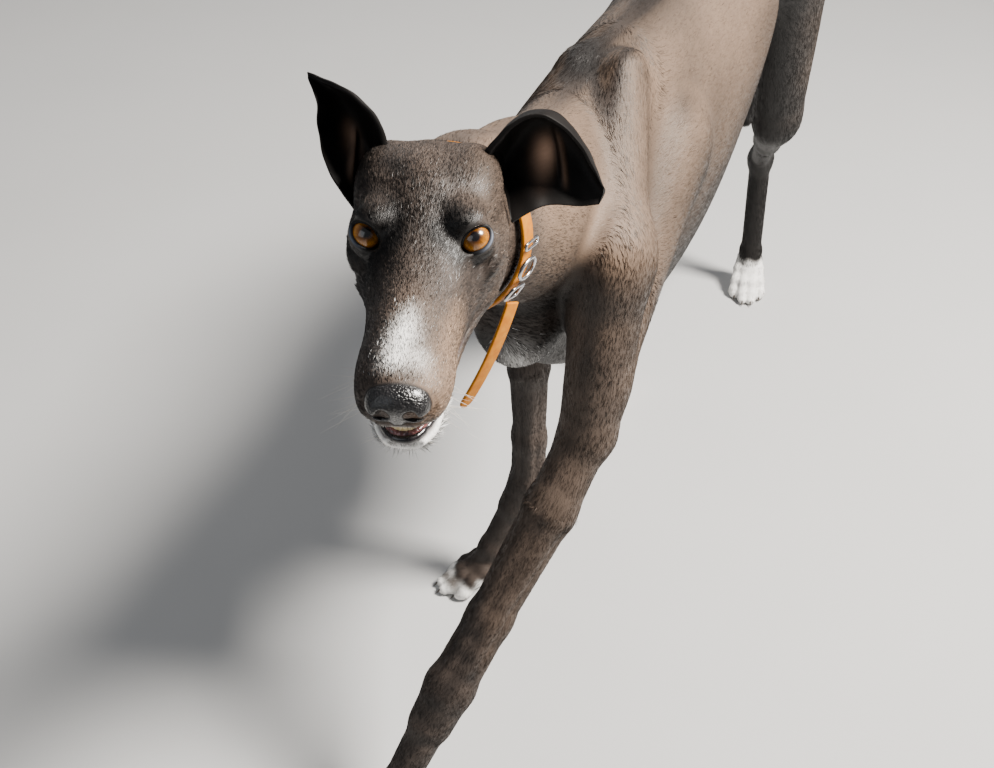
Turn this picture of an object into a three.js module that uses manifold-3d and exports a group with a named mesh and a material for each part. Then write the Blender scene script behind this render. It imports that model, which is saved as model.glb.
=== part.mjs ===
import * as THREE from "three";
import { mergeVertices } from "three/addons/utils/BufferGeometryUtils.js";
import Module from "manifold-3d";

const wasm = await Module();
wasm.setup();

// Standing greyhound, millimetres. X is the dog's left, -Y its front, Z up, floor at Z = 0.
// The design origin is on the floor under the withers; the last lines move it to the middle of the box.

const GAP = 0.3;
const COAT = 1.5;

// Head frame: its origin lies midway between the eyes.
const EYE_MIDDLE = [60, -400, 735];
const HEAD_YAW = 22;
const HEAD_PITCH = -1;
const EYE_SPACING = 70;
const EYE_RADIUS = 11.5;

const FORE = {
  left: {
    side: 1,
    blade: [44, 8, 668],
    shoulder: [90, -116, 560],
    elbow: [90, -160, 402],
    carpus: [21, -310, 172],
    knuckle: [-9, -366, 72],
    toe: [16, -434, 0],
    cut: 386,
  },
  right: {
    side: -1,
    blade: [-8, 12, 652],
    shoulder: [-50, -100, 526],
    elbow: [-54, 14, 382],
    carpus: [-44, 8, 152],
    knuckle: [-76, -18, 56],
    toe: [-130, -64, 0],
    cut: 386,
  },
};

const HIND = {
  left: {
    side: 1,
    ilium: [52, 412, 660],
    hip: [64, 500, 600],
    ischium: [50, 588, 588],
    stifle: [56, 542, 392],
    hock: [-4, 728, 222],
    knuckle: [-1, 730, 62],
    toe: [18, 668, 0],
  },
  right: {
    side: -1,
    ilium: [-38, 406, 660],
    hip: [-48, 500, 600],
    ischium: [-34, 588, 588],
    stifle: [-68, 352, 430],
    hock: [-76, 472, 206],
    knuckle: [-80, 408, 58],
    toe: [-86, 326, 0],
  },
};
const THIGH_CUT = 508;
const KNEE_CUT = 386;

const NECK = [
  { at: [31, -332, 685], deep: 55, wide: 0.86 },
  { at: [25, -272, 670], deep: 58.5, wide: 0.82 },
  { at: [20, -178, 624], deep: 70, wide: 0.74 },
  { at: [14, -60, 566], deep: 96, wide: 0.66 },
];
const NECK_SIDE = [0.995, 0.1, 0];

const TAIL = [
  [0, 585, 612],
  [0, 622, 574],
  [-4, 660, 500],
  [-14, 694, 410],
  [-28, 724, 325],
  [-42, 758, 262],
  [-54, 804, 234],
];
const TAIL_RADII = [21, 17, 13.5, 11, 9, 7, 3.5];

// Vectors are plain three-number arrays, which keeps the field quick to read.
const add = (a, b) => [a[0] + b[0], a[1] + b[1], a[2] + b[2]];
const sub = (a, b) => [a[0] - b[0], a[1] - b[1], a[2] - b[2]];
const times = (a, k) => [a[0] * k, a[1] * k, a[2] * k];
const dot = (a, b) => a[0] * b[0] + a[1] * b[1] + a[2] * b[2];
const cross = (a, b) => [
  a[1] * b[2] - a[2] * b[1],
  a[2] * b[0] - a[0] * b[2],
  a[0] * b[1] - a[1] * b[0],
];
const unit = (a) => times(a, 1 / Math.hypot(...a));
const mix = (a, b, t) => add(times(a, 1 - t), times(b, t));
const clamp = (t, low, high) => Math.min(Math.max(t, low), high);

const yaw = THREE.MathUtils.degToRad(HEAD_YAW);
const pitch = THREE.MathUtils.degToRad(HEAD_PITCH);
const AHEAD = [
  Math.sin(yaw) * Math.cos(pitch),
  -Math.cos(yaw) * Math.cos(pitch),
  Math.sin(pitch),
];
const LEFT = [Math.cos(yaw), Math.sin(yaw), 0];
const ABOVE = cross(LEFT, AHEAD).map((v) => -v);

/** A point given in the head frame (ahead, left, above), in the part's own frame. */
function onHead([a, b, c]) {
  return add(EYE_MIDDLE, add(times(AHEAD, a), add(times(LEFT, b), times(ABOVE, c))));
}

/** The head frame's coordinates of a point. */
function inHead(p) {
  const q = sub(p, EYE_MIDDLE);
  return [dot(q, AHEAD), dot(q, LEFT), dot(q, ABOVE)];
}

/** Smooth curve through [place, value] pairs, level beyond both ends. */
function profile(pairs) {
  const last = pairs.length - 1;
  const slope = pairs.map((pair, i) => {
    const before = pairs[Math.max(i - 1, 0)];
    const after = pairs[Math.min(i + 1, last)];
    return (after[1] - before[1]) / (after[0] - before[0]);
  });
  return (place) => {
    const t = clamp(place, pairs[0][0], pairs[last][0]);
    let i = 0;
    while (i < last - 1 && t > pairs[i + 1][0]) i += 1;
    const h = pairs[i + 1][0] - pairs[i][0];
    const s = (t - pairs[i][0]) / h;
    const rise = s * s * (3 - 2 * s);
    return (
      pairs[i][1] * (1 - rise) +
      pairs[i + 1][1] * rise +
      h * s * (1 - s) * ((1 - s) * slope[i] - s * slope[i + 1])
    );
  };
}

/** Field of a body whose superellipse sections follow rows of [place, top, bottom, half width, waist]. */
function loft(local, rows, upper, lower) {
  const column = (k) => profile(rows.map((row) => [row[0], row[k]]));
  const [top, bottom, half, waist] = [1, 2, 3, 4].map(column);
  const first = rows[0][0];
  const last = rows[rows.length - 1][0];
  return (p) => {
    const [a, b, c] = local(p);
    const t = clamp(a, first, last);
    const middle = waist(t);
    const isUp = c > middle;
    const height = isUp ? top(t) - middle : middle - bottom(t);
    const n = isUp ? upper : lower;
    const width = half(t);
    const across = Math.abs(b / width) ** n + Math.abs((c - middle) / height) ** n;
    const radial = (across ** (1 / n) - 1) * Math.min(width, height);
    const beyond = Math.max(first - a, a - last);
    return beyond > 0 ? Math.hypot(Math.max(radial, 0), beyond) : Math.max(radial, beyond);
  };
}

/** Field of a tapered capsule, narrowed along one side direction by a ratio at each end. */
function taper(a, b, ra, rb, side = [1, 0, 0], wideA = 1, wideB = wideA) {
  const span = sub(b, a);
  const length = dot(span, span);
  return (p) => {
    const q = sub(p, a);
    const t = clamp(dot(q, span) / length, 0, 1);
    const off = sub(q, times(span, t));
    const sideways = dot(off, side);
    const wide = wideA + (wideB - wideA) * t;
    const seen = add(off, times(side, sideways * (1 / wide - 1)));
    return Math.hypot(...seen) - (ra + (rb - ra) * t);
  };
}

/** Field of an ellipsoid whose radii lie along a frame's three directions. */
function egg(local, centre, radii) {
  return (p) => {
    const q = sub(local(p), centre);
    const k0 = Math.hypot(q[0] / radii[0], q[1] / radii[1], q[2] / radii[2]);
    const k1 = Math.hypot(q[0] / radii[0] ** 2, q[1] / radii[1] ** 2, q[2] / radii[2] ** 2);
    return k1 < 1e-9 ? -Math.min(...radii) : (k0 * (k0 - 1)) / k1;
  };
}

/** Union of two field values with a fillet of size k. */
function blend(a, b, k) {
  const h = Math.max(k - Math.abs(a - b), 0) / k;
  return Math.min(a, b) - (h * h * k) / 4;
}

/** One field from several, each joined to the ones before it with its own fillet. */
function join(parts) {
  return (p) => {
    let value = parts[0].field(p);
    for (let i = 1; i < parts.length; i += 1) {
      const next = parts[i].field(p);
      const k = parts[i].fillet;
      value = parts[i].carve ? -blend(-value, next, k) : blend(value, next, k);
    }
    return value - COAT;
  };
}

const world = (p) => p;
const part = (field, fillet = 14) => ({ field, fillet });
const hollow = (field, fillet = 8) => ({ field, fillet, carve: true });

// Trunk sections along the back: [y, top, bottom, half width, height of the widest place].
const TRUNK_ROWS = [
  [-150, 592, 466, 28, 530],
  [-115, 634, 426, 50, 535],
  [-60, 660, 385, 64, 535],
  [0, 680, 359, 74, 535],
  [60, 688, 350, 82, 537],
  [120, 688, 357, 87, 540],
  [180, 690, 377, 88, 546],
  [240, 697, 416, 88, 560],
  [300, 706, 466, 88, 585],
  [360, 710, 508, 82, 606],
  [420, 706, 531, 64, 616],
  [480, 690, 540, 60, 612],
  [540, 656, 537, 52, 598],
  [592, 624, 562, 32, 593],
];
// How far the spine lies to the left at places along the back, as the dog turns towards its head.
const spineAside = profile([[-260, 0], [-130, 6], [0, 11], [140, 11], [280, 6], [420, 1]]);
const trunk = loft((p) => [p[1], p[0] - spineAside(p[1]), p[2]], TRUNK_ROWS, 1.8, 1.9);

/** Shoulder blade, upper arm and forearm down to the knuckles. */
function foreParts(leg) {
  const { side, blade, shoulder, elbow, carpus, knuckle } = leg;
  const x = [1, 0, 0];
  const belly = add(mix(elbow, carpus, 0.28), [4, -3, 0]);
  const thin = add(mix(elbow, carpus, 0.72), [2, 0, 0]);
  const back = side > 0 ? [0, 26, 30] : [0, 30, 12];
  const behind = add(blade, [side * 34, 60, -96]);
  // The left leg bears weight, with its sinews and muscles drawn tight.
  const stout = side > 0 ? 1.13 : 1;
  return [
    part(taper(blade, shoulder, 24, 42, x, 0.6, 0.72), 26),
    part(taper(shoulder, elbow, 44, 29, x, 0.72, 0.9), 24),
    part(taper(behind, add(elbow, [side * 4, 30, 40]), 44, 27, x, 0.62, 0.7), 26),
    part(taper(add(elbow, back), belly, 11, 13), 12),
    part(taper(elbow, belly, 25, 23 * stout, x, 0.92, 0.9), 12),
    part(taper(belly, thin, 23 * stout, 18.5 * stout, x, 0.9, 0.95), 10),
    part(taper(thin, carpus, 18.5 * stout, 20 * stout), 10),
    part(taper(carpus, mix(carpus, knuckle, 0.35), 20.5 * stout, 18.5 * stout), 10),
    part(taper(carpus, knuckle, 17.5 * stout, 16), 8),
    part(taper(add(carpus, [0, 17, -2]), add(carpus, [0, 12, -16]), 6, 4), 8),
  ];
}

/** Haunch, thigh, second thigh, hock and rear pastern. */
function hindParts(leg) {
  const { side, ilium, hip, ischium, stifle, hock, knuckle } = leg;
  const x = [1, 0, 0];
  const shank = unit(sub(knuckle, hock));
  const heel = add(hock, add(times(shank, -30), [0, 16, 0]));
  const behind = add(stifle, [-side * 6, 58, 18]);
  const calf = add(mix(stifle, hock, 0.42), [0, 20, 12]);
  return [
    part(taper(ilium, add(hip, [side * 4, 8, 6]), 36, 46, x, 0.72), 26),
    part(taper(hip, stifle, 64, 40, x, 0.6, 0.74), 26),
    part(taper(ischium, behind, 32, 32, x, 0.76, 0.66), 26),
    part(taper(stifle, mix(stifle, hock, 0.5), 36, 22, x, 0.76, 0.8), 16),
    part(taper(mix(stifle, hock, 0.5), hock, 22, 14.5, x, 0.8, 0.84), 12),
    part(taper(behind, calf, 28, 15, x, 0.7), 16),
    part(taper(calf, heel, 9, 8), 16),
    part(taper(heel, hock, 11, 13), 10),
    part(egg(world, hock, [15.5, 20, 20]), 10),
    part(taper(hock, knuckle, 15, 14.5), 10),
  ];
}

const foreLeft = foreParts(FORE.left);
const foreRight = foreParts(FORE.right);
const hindLeft = hindParts(HIND.left);
const hindRight = hindParts(HIND.right);

const neckParts = [0, 1, 2].map((i) => {
  const [near, far] = [NECK[i], NECK[i + 1]];
  return part(taper(near.at, far.at, near.deep, far.deep, NECK_SIDE, near.wide, far.wide), 30);
});
const tailParts = TAIL.slice(1).map((to, i) =>
  part(taper(TAIL[i], to, TAIL_RADII[i], TAIL_RADII[i + 1]), 10),
);

const body = join([
  part(trunk),
  ...neckParts,
  part(egg(world, [6, -140, 492], [38, 30, 48]), 30),
  part(taper([5, 320, 660], [0, 480, 640], 46, 44, [1, 0, 0], 1.1), 30),
  ...foreLeft,
  ...foreRight,
  ...hindLeft,
  ...hindRight,
  tailParts[0],
]);

// Head sections from the nape to the nose: [ahead, top, bottom, half width, height of the widest place].
const HEAD_ROWS = [
  [-112, -4, -62, 36, -30],
  [-95, 16, -74, 45, -28],
  [-75, 29, -81, 47, -26],
  [-50, 36, -83, 50, -24],
  [-25, 33, -81, 49, -24],
  [0, 22, -78, 43, -27],
  [20, 11, -75, 36, -29],
  [45, 3, -71, 31, -33],
  [75, -3, -67, 28.5, -35],
  [105, -8, -62, 27, -35],
  [124, -13, -57, 23.5, -34],
  [136, -21, -49, 15, -34],
];
// Height of the upper lip's edge and of the lower lip's edge, along the head.
const UPPER_LIP = profile([[-20, -57], [28, -55.5], [60, -55], [100, -52], [128, -48], [142, -45]]);
const LOWER_LIP = profile([[-20, -58], [28, -57], [60, -61.5], [90, -66.5], [112, -70], [120, -70.5]]);
const JAW_BACK = -20;
const JAW_ROWS = [
  [-20, -50, -81, 45, -57],
  [0, -50, -80, 38, -58],
  [28, -51, -80, 31, -60],
  [60, -55, -82, 25.5, -65],
  [88, -60, -84, 22.5, -70],
  [106, -63, -84, 19.5, -73],
  [118, -67, -79, 13, -73],
];
const CHIN = profile(JAW_ROWS.map((row) => [row[0], row[2]]));

const cheeks = [1, -1].flatMap((s) => [
  part(egg(inHead, [-30, s * 43.5, -20], [36, 8.5, 11]), 10),
  part(egg(inHead, [-50, s * 37, -46], [32, 14, 30]), 14),
  part(egg(inHead, [-52, s * 31, 11], [35, 17, 20]), 14),
  part(egg(inHead, [-4, s * 29, 14.5], [16, 12, 8]), 9),
  part(egg(inHead, [98, s * 17, -38], [30, 11, 15]), 10),
  hollow(egg(inHead, [22, s * 45, -14], [18, 9, 12]), 10),
]);
const skull = join([
  part(loft(inHead, HEAD_ROWS, 2.1, 2.2)),
  ...neckParts.slice(0, 2),
  ...cheeks,
]);
const jaw = join([part(loft(inHead, JAW_ROWS, 2.2, 2.2))]);
const upperHead = (p) => {
  const [a, , c] = inHead(p);
  return Math.max(skull(p), UPPER_LIP(a) - c);
};
const lowerHead = (p) => {
  const [a, , c] = inHead(p);
  return Math.max(jaw(p), c - LOWER_LIP(a));
};

// Meshing: rings of rays solved on a field, and a lattice for the branching trunk.

/** Distance from a centre to the field's surface along a direction. */
function reach(field, centre, direction) {
  const at = (r) => field(add(centre, times(direction, r)));
  let near = 0;
  let far = 0;
  while (far < 260 && at(far) <= 0) {
    near = far;
    far += 1.5 + Math.max(0, -at(far)) * 0.5;
  }
  for (let i = 0; i < 12; i += 1) {
    const middle = (near + far) / 2;
    if (at(middle) <= 0) near = middle;
    else far = middle;
  }
  return Math.max((near + far) / 2, 0.8);
}

/** Moves a ring's centre to the middle of the section it cuts. */
function recentre(field, ring) {
  const [e1, e2] = ringAxes(ring);
  let centre = ring.at;
  for (let i = 0; i < 3; i += 1) {
    for (const e of [e1, e2]) {
      const shift = reach(field, centre, e) - reach(field, centre, times(e, -1));
      centre = add(centre, times(e, shift / 2));
    }
  }
  return { ...ring, at: centre };
}

function ringAxes({ normal, up = [0, 0, 1] }) {
  const e1 = unit(sub(up, times(normal, dot(up, normal))));
  return [e1, cross(normal, e1)];
}

/** Closed solid from rings of points, both ends shut flat. */
function skinRings(rows, closed = false) {
  const sides = rows[0].length;
  const vertices = rows.flat();
  const faces = [];
  const bands = closed ? rows.length : rows.length - 1;
  for (let i = 0; i < bands; i += 1) {
    const next = (i + 1) % rows.length;
    for (let k = 0; k < sides; k += 1) {
      const right = (k + 1) % sides;
      const [a, b] = [i * sides + k, i * sides + right];
      const [c, d] = [next * sides + right, next * sides + k];
      faces.push([a, b, c], [a, c, d]);
    }
  }
  if (!closed) {
    for (const end of [0, rows.length - 1]) {
      const middle = times(rows[end].reduce(add), 1 / sides);
      vertices.push(middle);
      for (let k = 0; k < sides; k += 1) {
        const pair = [end * sides + k, end * sides + ((k + 1) % sides)];
        if (end === 0) pair.reverse();
        faces.push([pair[0], pair[1], vertices.length - 1]);
      }
    }
  }
  return solid(vertices, faces);
}

/** Solid of a list of points and triangles, turned to face outwards. */
function solid(vertices, faces) {
  const geometry = new THREE.BufferGeometry();
  geometry.setAttribute("position", new THREE.Float32BufferAttribute(vertices.flat(), 3));
  geometry.setIndex(faces.flat());
  const made = fromGeometry(geometry);
  return made.volume() < 0 ? solid(vertices, faces.map(([a, b, c]) => [a, c, b])) : made;
}

function fromGeometry(geometry) {
  const bare = geometry.clone();
  bare.deleteAttribute("normal");
  bare.deleteAttribute("uv");
  const merged = mergeVertices(bare, 1e-4);
  const mesh = new wasm.Mesh({
    numProp: 3,
    vertProperties: new Float32Array(merged.attributes.position.array),
    triVerts: new Uint32Array(merged.index.array),
  });
  return new wasm.Manifold(mesh);
}

/** Solid swept over rings {at, normal} on a field grown by `grow`. */
function sweep(field, rings, sides, grow = 0) {
  const grown = (p) => field(p) - grow;
  const rows = rings.map((ring) => {
    const [e1, e2] = ringAxes(ring);
    return Array.from({ length: sides }, (_, k) => {
      const turn = (2 * Math.PI * k) / sides;
      const ray = add(times(e1, Math.cos(turn)), times(e2, Math.sin(turn)));
      return add(ring.at, times(ray, reach(grown, ring.at, ray)));
    });
  });
  return skinRings(rows);
}

/** Round bar along points with a radius at each, both ends shut. */
function bar(points, radii, sides, up = [0, 0, 1]) {
  const rows = points.map((at, i) => {
    const from = points[Math.max(i - 1, 0)];
    const to = points[Math.min(i + 1, points.length - 1)];
    const [e1, e2] = ringAxes({ normal: unit(sub(to, from)), up });
    return Array.from({ length: sides }, (_, k) => {
      const turn = (2 * Math.PI * (k + 0.5)) / sides;
      const ray = add(times(e1, Math.cos(turn)), times(e2, Math.sin(turn)));
      return add(at, times(ray, radii[i]));
    });
  });
  return skinRings(rows);
}

/** Surface net of a field over a box of cells; every crossing cell holds one vertex on the surface. */
function net(field, low, high, cell) {
  const n = [0, 1, 2].map((i) => Math.ceil((high[i] - low[i]) / cell[i]) + 1);
  const at = (i, j, k) => (i * n[1] + j) * n[2] + k;
  const spot = (i, j, k) => [low[0] + i * cell[0], low[1] + j * cell[1], low[2] + k * cell[2]];
  const value = new Float64Array(n[0] * n[1] * n[2]);
  for (let i = 0; i < n[0]; i += 1) {
    for (let j = 0; j < n[1]; j += 1) {
      for (let k = 0; k < n[2]; k += 1) {
        const isRim = [i, j, k].some((v, m) => v === 0 || v === n[m] - 1);
        value[at(i, j, k)] = isRim ? 5 : field(spot(i, j, k));
      }
    }
  }
  closeDiagonals(value, n, at);
  const vertices = [];
  const index = new Map();
  const corners = [0, 1, 2, 3, 4, 5, 6, 7].map((m) => [m & 1, (m >> 1) & 1, m >> 2]);
  for (let i = 0; i < n[0] - 1; i += 1) {
    for (let j = 0; j < n[1] - 1; j += 1) {
      for (let k = 0; k < n[2] - 1; k += 1) {
        const inside = corners.filter(([a, b, c]) => value[at(i + a, j + b, k + c)] < 0);
        if (inside.length === 0 || inside.length === 8) continue;
        index.set(at(i, j, k), vertices.length);
        vertices.push(cellVertex(field, value, at, spot, cell, [i, j, k], corners));
      }
    }
  }
  const faces = [];
  for (let i = 0; i < n[0] - 1; i += 1) {
    for (let j = 0; j < n[1] - 1; j += 1) {
      for (let k = 0; k < n[2] - 1; k += 1) {
        const here = value[at(i, j, k)] < 0;
        const rings = [
          [j * k > 0, value[at(i + 1, j, k)] < 0, [[0, 0, 0], [0, -1, 0], [0, -1, -1], [0, 0, -1]]],
          [i * k > 0, value[at(i, j + 1, k)] < 0, [[0, 0, 0], [0, 0, -1], [-1, 0, -1], [-1, 0, 0]]],
          [i * j > 0, value[at(i, j, k + 1)] < 0, [[0, 0, 0], [-1, 0, 0], [-1, -1, 0], [0, -1, 0]]],
        ];
        for (const [isWithin, there, around] of rings) {
          if (!isWithin || here === there) continue;
          const quad = around.map(([a, b, c]) => index.get(at(i + a, j + b, k + c)));
          if (!here) quad.reverse();
          const [p, q, r, s] = quad.map((v) => vertices[v]);
          const short = Math.hypot(...sub(p, r)) < Math.hypot(...sub(q, s));
          const [w, x, y, z] = quad;
          faces.push(...(short ? [[w, x, y], [w, y, z]] : [[x, y, z], [x, z, w]]));
        }
      }
    }
  }
  return solid(vertices, faces);
}

/** A cell's vertex: the mean of its edge crossings, moved on to the surface but kept in the cell. */
function cellVertex(field, value, at, spot, cell, [i, j, k], corners) {
  let sum = [0, 0, 0];
  let count = 0;
  for (const a of corners) {
    for (const axis of [0, 1, 2]) {
      if (a[axis]) continue;
      const b = a.map((v, m) => (m === axis ? 1 : v));
      const va = value[at(i + a[0], j + a[1], k + a[2])];
      const vb = value[at(i + b[0], j + b[1], k + b[2])];
      if (va < 0 === vb < 0) continue;
      const from = spot(i + a[0], j + a[1], k + a[2]);
      const to = spot(i + b[0], j + b[1], k + b[2]);
      sum = add(sum, mix(from, to, va / (va - vb)));
      count += 1;
    }
  }
  const start = times(sum, 1 / count);
  const low = spot(i, j, k);
  let p = start;
  for (let step = 0; step < 3; step += 1) {
    const f = field(p);
    const slope = gradient(field, p);
    p = sub(p, times(slope, f / Math.max(dot(slope, slope), 0.05)));
    p = p.map((v, m) => clamp(v, low[m] + cell[m] * 0.05, low[m] + cell[m] * 0.95));
  }
  return p;
}

function gradient(field, p) {
  const h = 0.5;
  return [0, 1, 2].map((i) => {
    const step = [0, 0, 0];
    step[i] = h;
    return (field(add(p, step)) - field(sub(p, step))) / (2 * h);
  });
}

/** Fills lattice faces and cells whose corners meet only diagonally, so the net stays manifold. */
function closeDiagonals(value, n, at) {
  const fill = (list) => {
    const outside = list.filter((v) => value[v] >= 0);
    const nearest = outside.reduce((a, b) => (value[a] < value[b] ? a : b));
    value[nearest] = -0.01;
  };
  let changed = true;
  while (changed) {
    changed = false;
    for (let i = 0; i < n[0] - 1; i += 1) {
      for (let j = 0; j < n[1] - 1; j += 1) {
        for (let k = 0; k < n[2] - 1; k += 1) {
          const squares = [
            [at(i, j, k), at(i, j + 1, k), at(i, j + 1, k + 1), at(i, j, k + 1)],
            [at(i, j, k), at(i + 1, j, k), at(i + 1, j, k + 1), at(i, j, k + 1)],
            [at(i, j, k), at(i + 1, j, k), at(i + 1, j + 1, k), at(i, j + 1, k)],
          ];
          for (const square of squares) {
            const [a, b, c, d] = square.map((v) => value[v] < 0);
            if (a === c && b === d && a !== b) {
              fill(square);
              changed = true;
            }
          }
          const far = [[0, 0, 0], [1, 0, 0], [0, 1, 0], [0, 0, 1]].map(([a, b, c]) => [
            at(i + a, j + b, k + c),
            at(i + 1 - a, j + 1 - b, k + 1 - c),
          ]);
          const all = far.flat();
          const dry = all.filter((v) => value[v] >= 0);
          const wet = all.filter((v) => value[v] < 0);
          const lone = far.some(
            (pair) =>
              (wet.length === 2 && pair.every((v) => value[v] < 0)) ||
              (dry.length === 2 && pair.every((v) => value[v] >= 0)),
          );
          if (lone) {
            fill(all);
            changed = true;
          }
        }
      }
    }
  }
}

/** Everything on the far side of a plane, as one big box; half the gap stays clear of the plane. */
function beyond(point, normal, size = 900) {
  const box = new THREE.BoxGeometry(size, size, size);
  box.translate(0, 0, size / 2 - GAP / 2);
  const turn = new THREE.Quaternion().setFromUnitVectors(
    new THREE.Vector3(0, 0, 1),
    new THREE.Vector3(...normal).normalize(),
  );
  box.applyQuaternion(turn);
  box.translate(...point);
  return fromGeometry(box);
}

function block(low, high) {
  const size = sub(high, low);
  const box = new THREE.BoxGeometry(...size);
  box.translate(...times(add(low, high), 0.5));
  return fromGeometry(box);
}

/** The largest closed surface of a solid. */
function largest(made) {
  const pieces = made.decompose();
  return pieces.reduce((a, b) => (a.volume() > b.volume() ? a : b));
}

function fuse(list) {
  return list.reduce((a, b) => a.add(b));
}

const dog = new THREE.Group();
dog.name = "greyhound";

/** Adds a solid to the dog as a named mesh. */
function place(name, made, { color, roughness = 0.7, metalness = 0 }) {
  const mesh = made.getMesh();
  const geometry = new THREE.BufferGeometry();
  const points = new THREE.Float32BufferAttribute(mesh.vertProperties, 3);
  geometry.setAttribute("position", points);
  geometry.setIndex(Array.from(mesh.triVerts));
  geometry.computeVertexNormals();
  const material = new THREE.MeshStandardMaterial({ color, roughness, metalness });
  const object = new THREE.Mesh(geometry, material);
  object.name = name;
  dog.add(object);
}

const COATED = { color: 0x2b2522, roughness: 0.75 };
const DARK = { color: 0x151312, roughness: 0.7 };
const WHITE = { color: 0xd8d2c8, roughness: 0.8 };
const LEATHERY = { color: 0x0d0c0c, roughness: 0.4 };
const IRIS = { color: 0x8a4a12, roughness: 0.1 };
const ENAMEL = { color: 0xd9c9a0, roughness: 0.35 };
const STRAP = { color: 0xe8720c, roughness: 0.45 };
const STEEL = { color: 0xc4c7ca, roughness: 0.25, metalness: 1 };

// Planes where neighbours meet.
const neckAxis = unit(sub(NECK[0].at, NECK[2].at));
const HEAD_PLANE = { at: onHead([-80, 0, -42]), normal: unit(sub(NECK[0].at, NECK[1].at)) };
const NECK_PLANE = { at: [14, -168, 632], normal: neckAxis };
const TAIL_PLANE = { at: [0, 604, 594], normal: unit([0, 0.62, -0.78]) };

/** Rings from one plane to another along a curve through the given points. */
function ringsAlong(points, count, first, last, { margin = GAP / 2, up = [0, 0, 1] } = {}) {
  const curve = new THREE.CatmullRomCurve3(points.map((p) => new THREE.Vector3(...p)));
  return Array.from({ length: count }, (_, i) => {
    const t = i / (count - 1);
    const at = curve.getPointAt(t).toArray();
    const along = curve.getTangentAt(t).toArray();
    const near = first && t < 0.5 ? mix(first, along, clamp(t * 2.4, 0, 1)) : along;
    const both = last && t > 0.5 ? mix(last, near, clamp((1 - t) * 2.4, 0, 1)) : near;
    const normal = unit(both);
    const inward = i === 0 ? margin : i === count - 1 ? -margin : 0;
    return { at: add(at, times(normal, inward)), normal, up };
  });
}

// Torso, with the shoulders, upper arms and the tops of the thighs.
function torso() {
  const whole = net(body, [-150, -250, 300], [156, 655, 745], [19.5, 23.5, 19.5]);
  const elbows = Object.values(FORE).map(({ side, elbow, cut }) => {
    const inner = side > 0 ? 42 : -156;
    const outer = side > 0 ? 170 : -25;
    const front = side > 0 ? -300 : -75;
    const rear = side > 0 ? -108 : 110;
    return block([inner, front, 200], [outer, rear, cut + GAP / 2]);
  });
  const thighs = [
    block([-30, 352, 100], [200, 800, THIGH_CUT + GAP / 2]),
    block([-200, 296, 100], [-30, 800, THIGH_CUT + GAP / 2]),
  ];
  const tail = beyond(TAIL_PLANE.at, TAIL_PLANE.normal, 200).intersect(
    block([-45, 560, 300], [45, 800, 690]),
  );
  const head = beyond(NECK_PLANE.at, NECK_PLANE.normal).intersect(
    block([-200, -700, 500], [300, -60, 1000]),
  );
  const cuts = [...elbows, ...thighs, tail, head];
  return largest(cuts.reduce((a, b) => a.subtract(b), whole));
}
place("torso", torso(), COATED);

function neck() {
  const points = [NECK_PLANE.at, [21, -235, 660], [26, -285, 678], HEAD_PLANE.at];
  const rings = ringsAlong(points, 9, NECK_PLANE.normal, HEAD_PLANE.normal);
  const parts = [...neckParts, part(trunk), ...foreLeft.slice(0, 2), ...cheeksOnNeck()];
  return sweep(join(parts), rings, 26);
}

function cheeksOnNeck() {
  return [part(loft(inHead, HEAD_ROWS, 2.1, 2.2)), ...cheeks.filter((c) => !c.carve)];
}
place("neck", neck(), COATED);

const eyes = [1, -1].map((side) => ({
  side,
  centre: onHead([0, (side * EYE_SPACING) / 2, 0]),
  gaze: unit(sub(onHead([0.84, 0.1 + side * 0.1, 0.51]), EYE_MIDDLE)),
  corner: sub(onHead([-0.38, side * 0.79, 0.47]), EYE_MIDDLE),
}));

/** Ball of the eye, its pole turned to the gaze. */
function eyeball({ centre, gaze }, radius) {
  const ball = new THREE.SphereGeometry(radius, 16, 10);
  ball.applyQuaternion(
    new THREE.Quaternion().setFromUnitVectors(
      new THREE.Vector3(0, 1, 0),
      new THREE.Vector3(...gaze),
    ),
  );
  ball.translate(...centre);
  return fromGeometry(ball);
}

/** Almond opening between the lids, as a prism along the gaze. */
function lidOpening({ centre, gaze, corner }) {
  const half = 10.8;
  const tall = 10.2;
  const outline = new THREE.Shape();
  outline.moveTo(-half, -1.5);
  outline.quadraticCurveTo(-half * 0.2, tall * 1.5, half, 1.5);
  outline.quadraticCurveTo(half * 0.1, -tall * 1.45, -half, -1.5);
  const prism = new THREE.ExtrudeGeometry(outline, {
    depth: 30,
    bevelEnabled: false,
    curveSegments: 8,
  });
  const z = gaze;
  const x = unit(sub(corner, times(z, dot(corner, z))));
  const y = cross(z, x);
  const up = y[2] < 0 ? times(y, -1) : y;
  const basis = new THREE.Matrix4().makeBasis(
    new THREE.Vector3(...x),
    new THREE.Vector3(...up),
    new THREE.Vector3(...z),
  );
  basis.setPosition(...centre);
  prism.applyMatrix4(basis);
  const made = fromGeometry(prism);
  return made.volume() < 0 ? fromGeometry(flip(prism)) : made;
}

function flip(geometry) {
  const turned = geometry.index ? geometry.toNonIndexed() : geometry.clone();
  const array = turned.attributes.position.array;
  for (let i = 0; i < array.length; i += 9) {
    for (let m = 0; m < 3; m += 1) {
      [array[i + 3 + m], array[i + 6 + m]] = [array[i + 6 + m], array[i + 3 + m]];
    }
  }
  return turned;
}

const HEAD_SIDES = 32;
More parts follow.
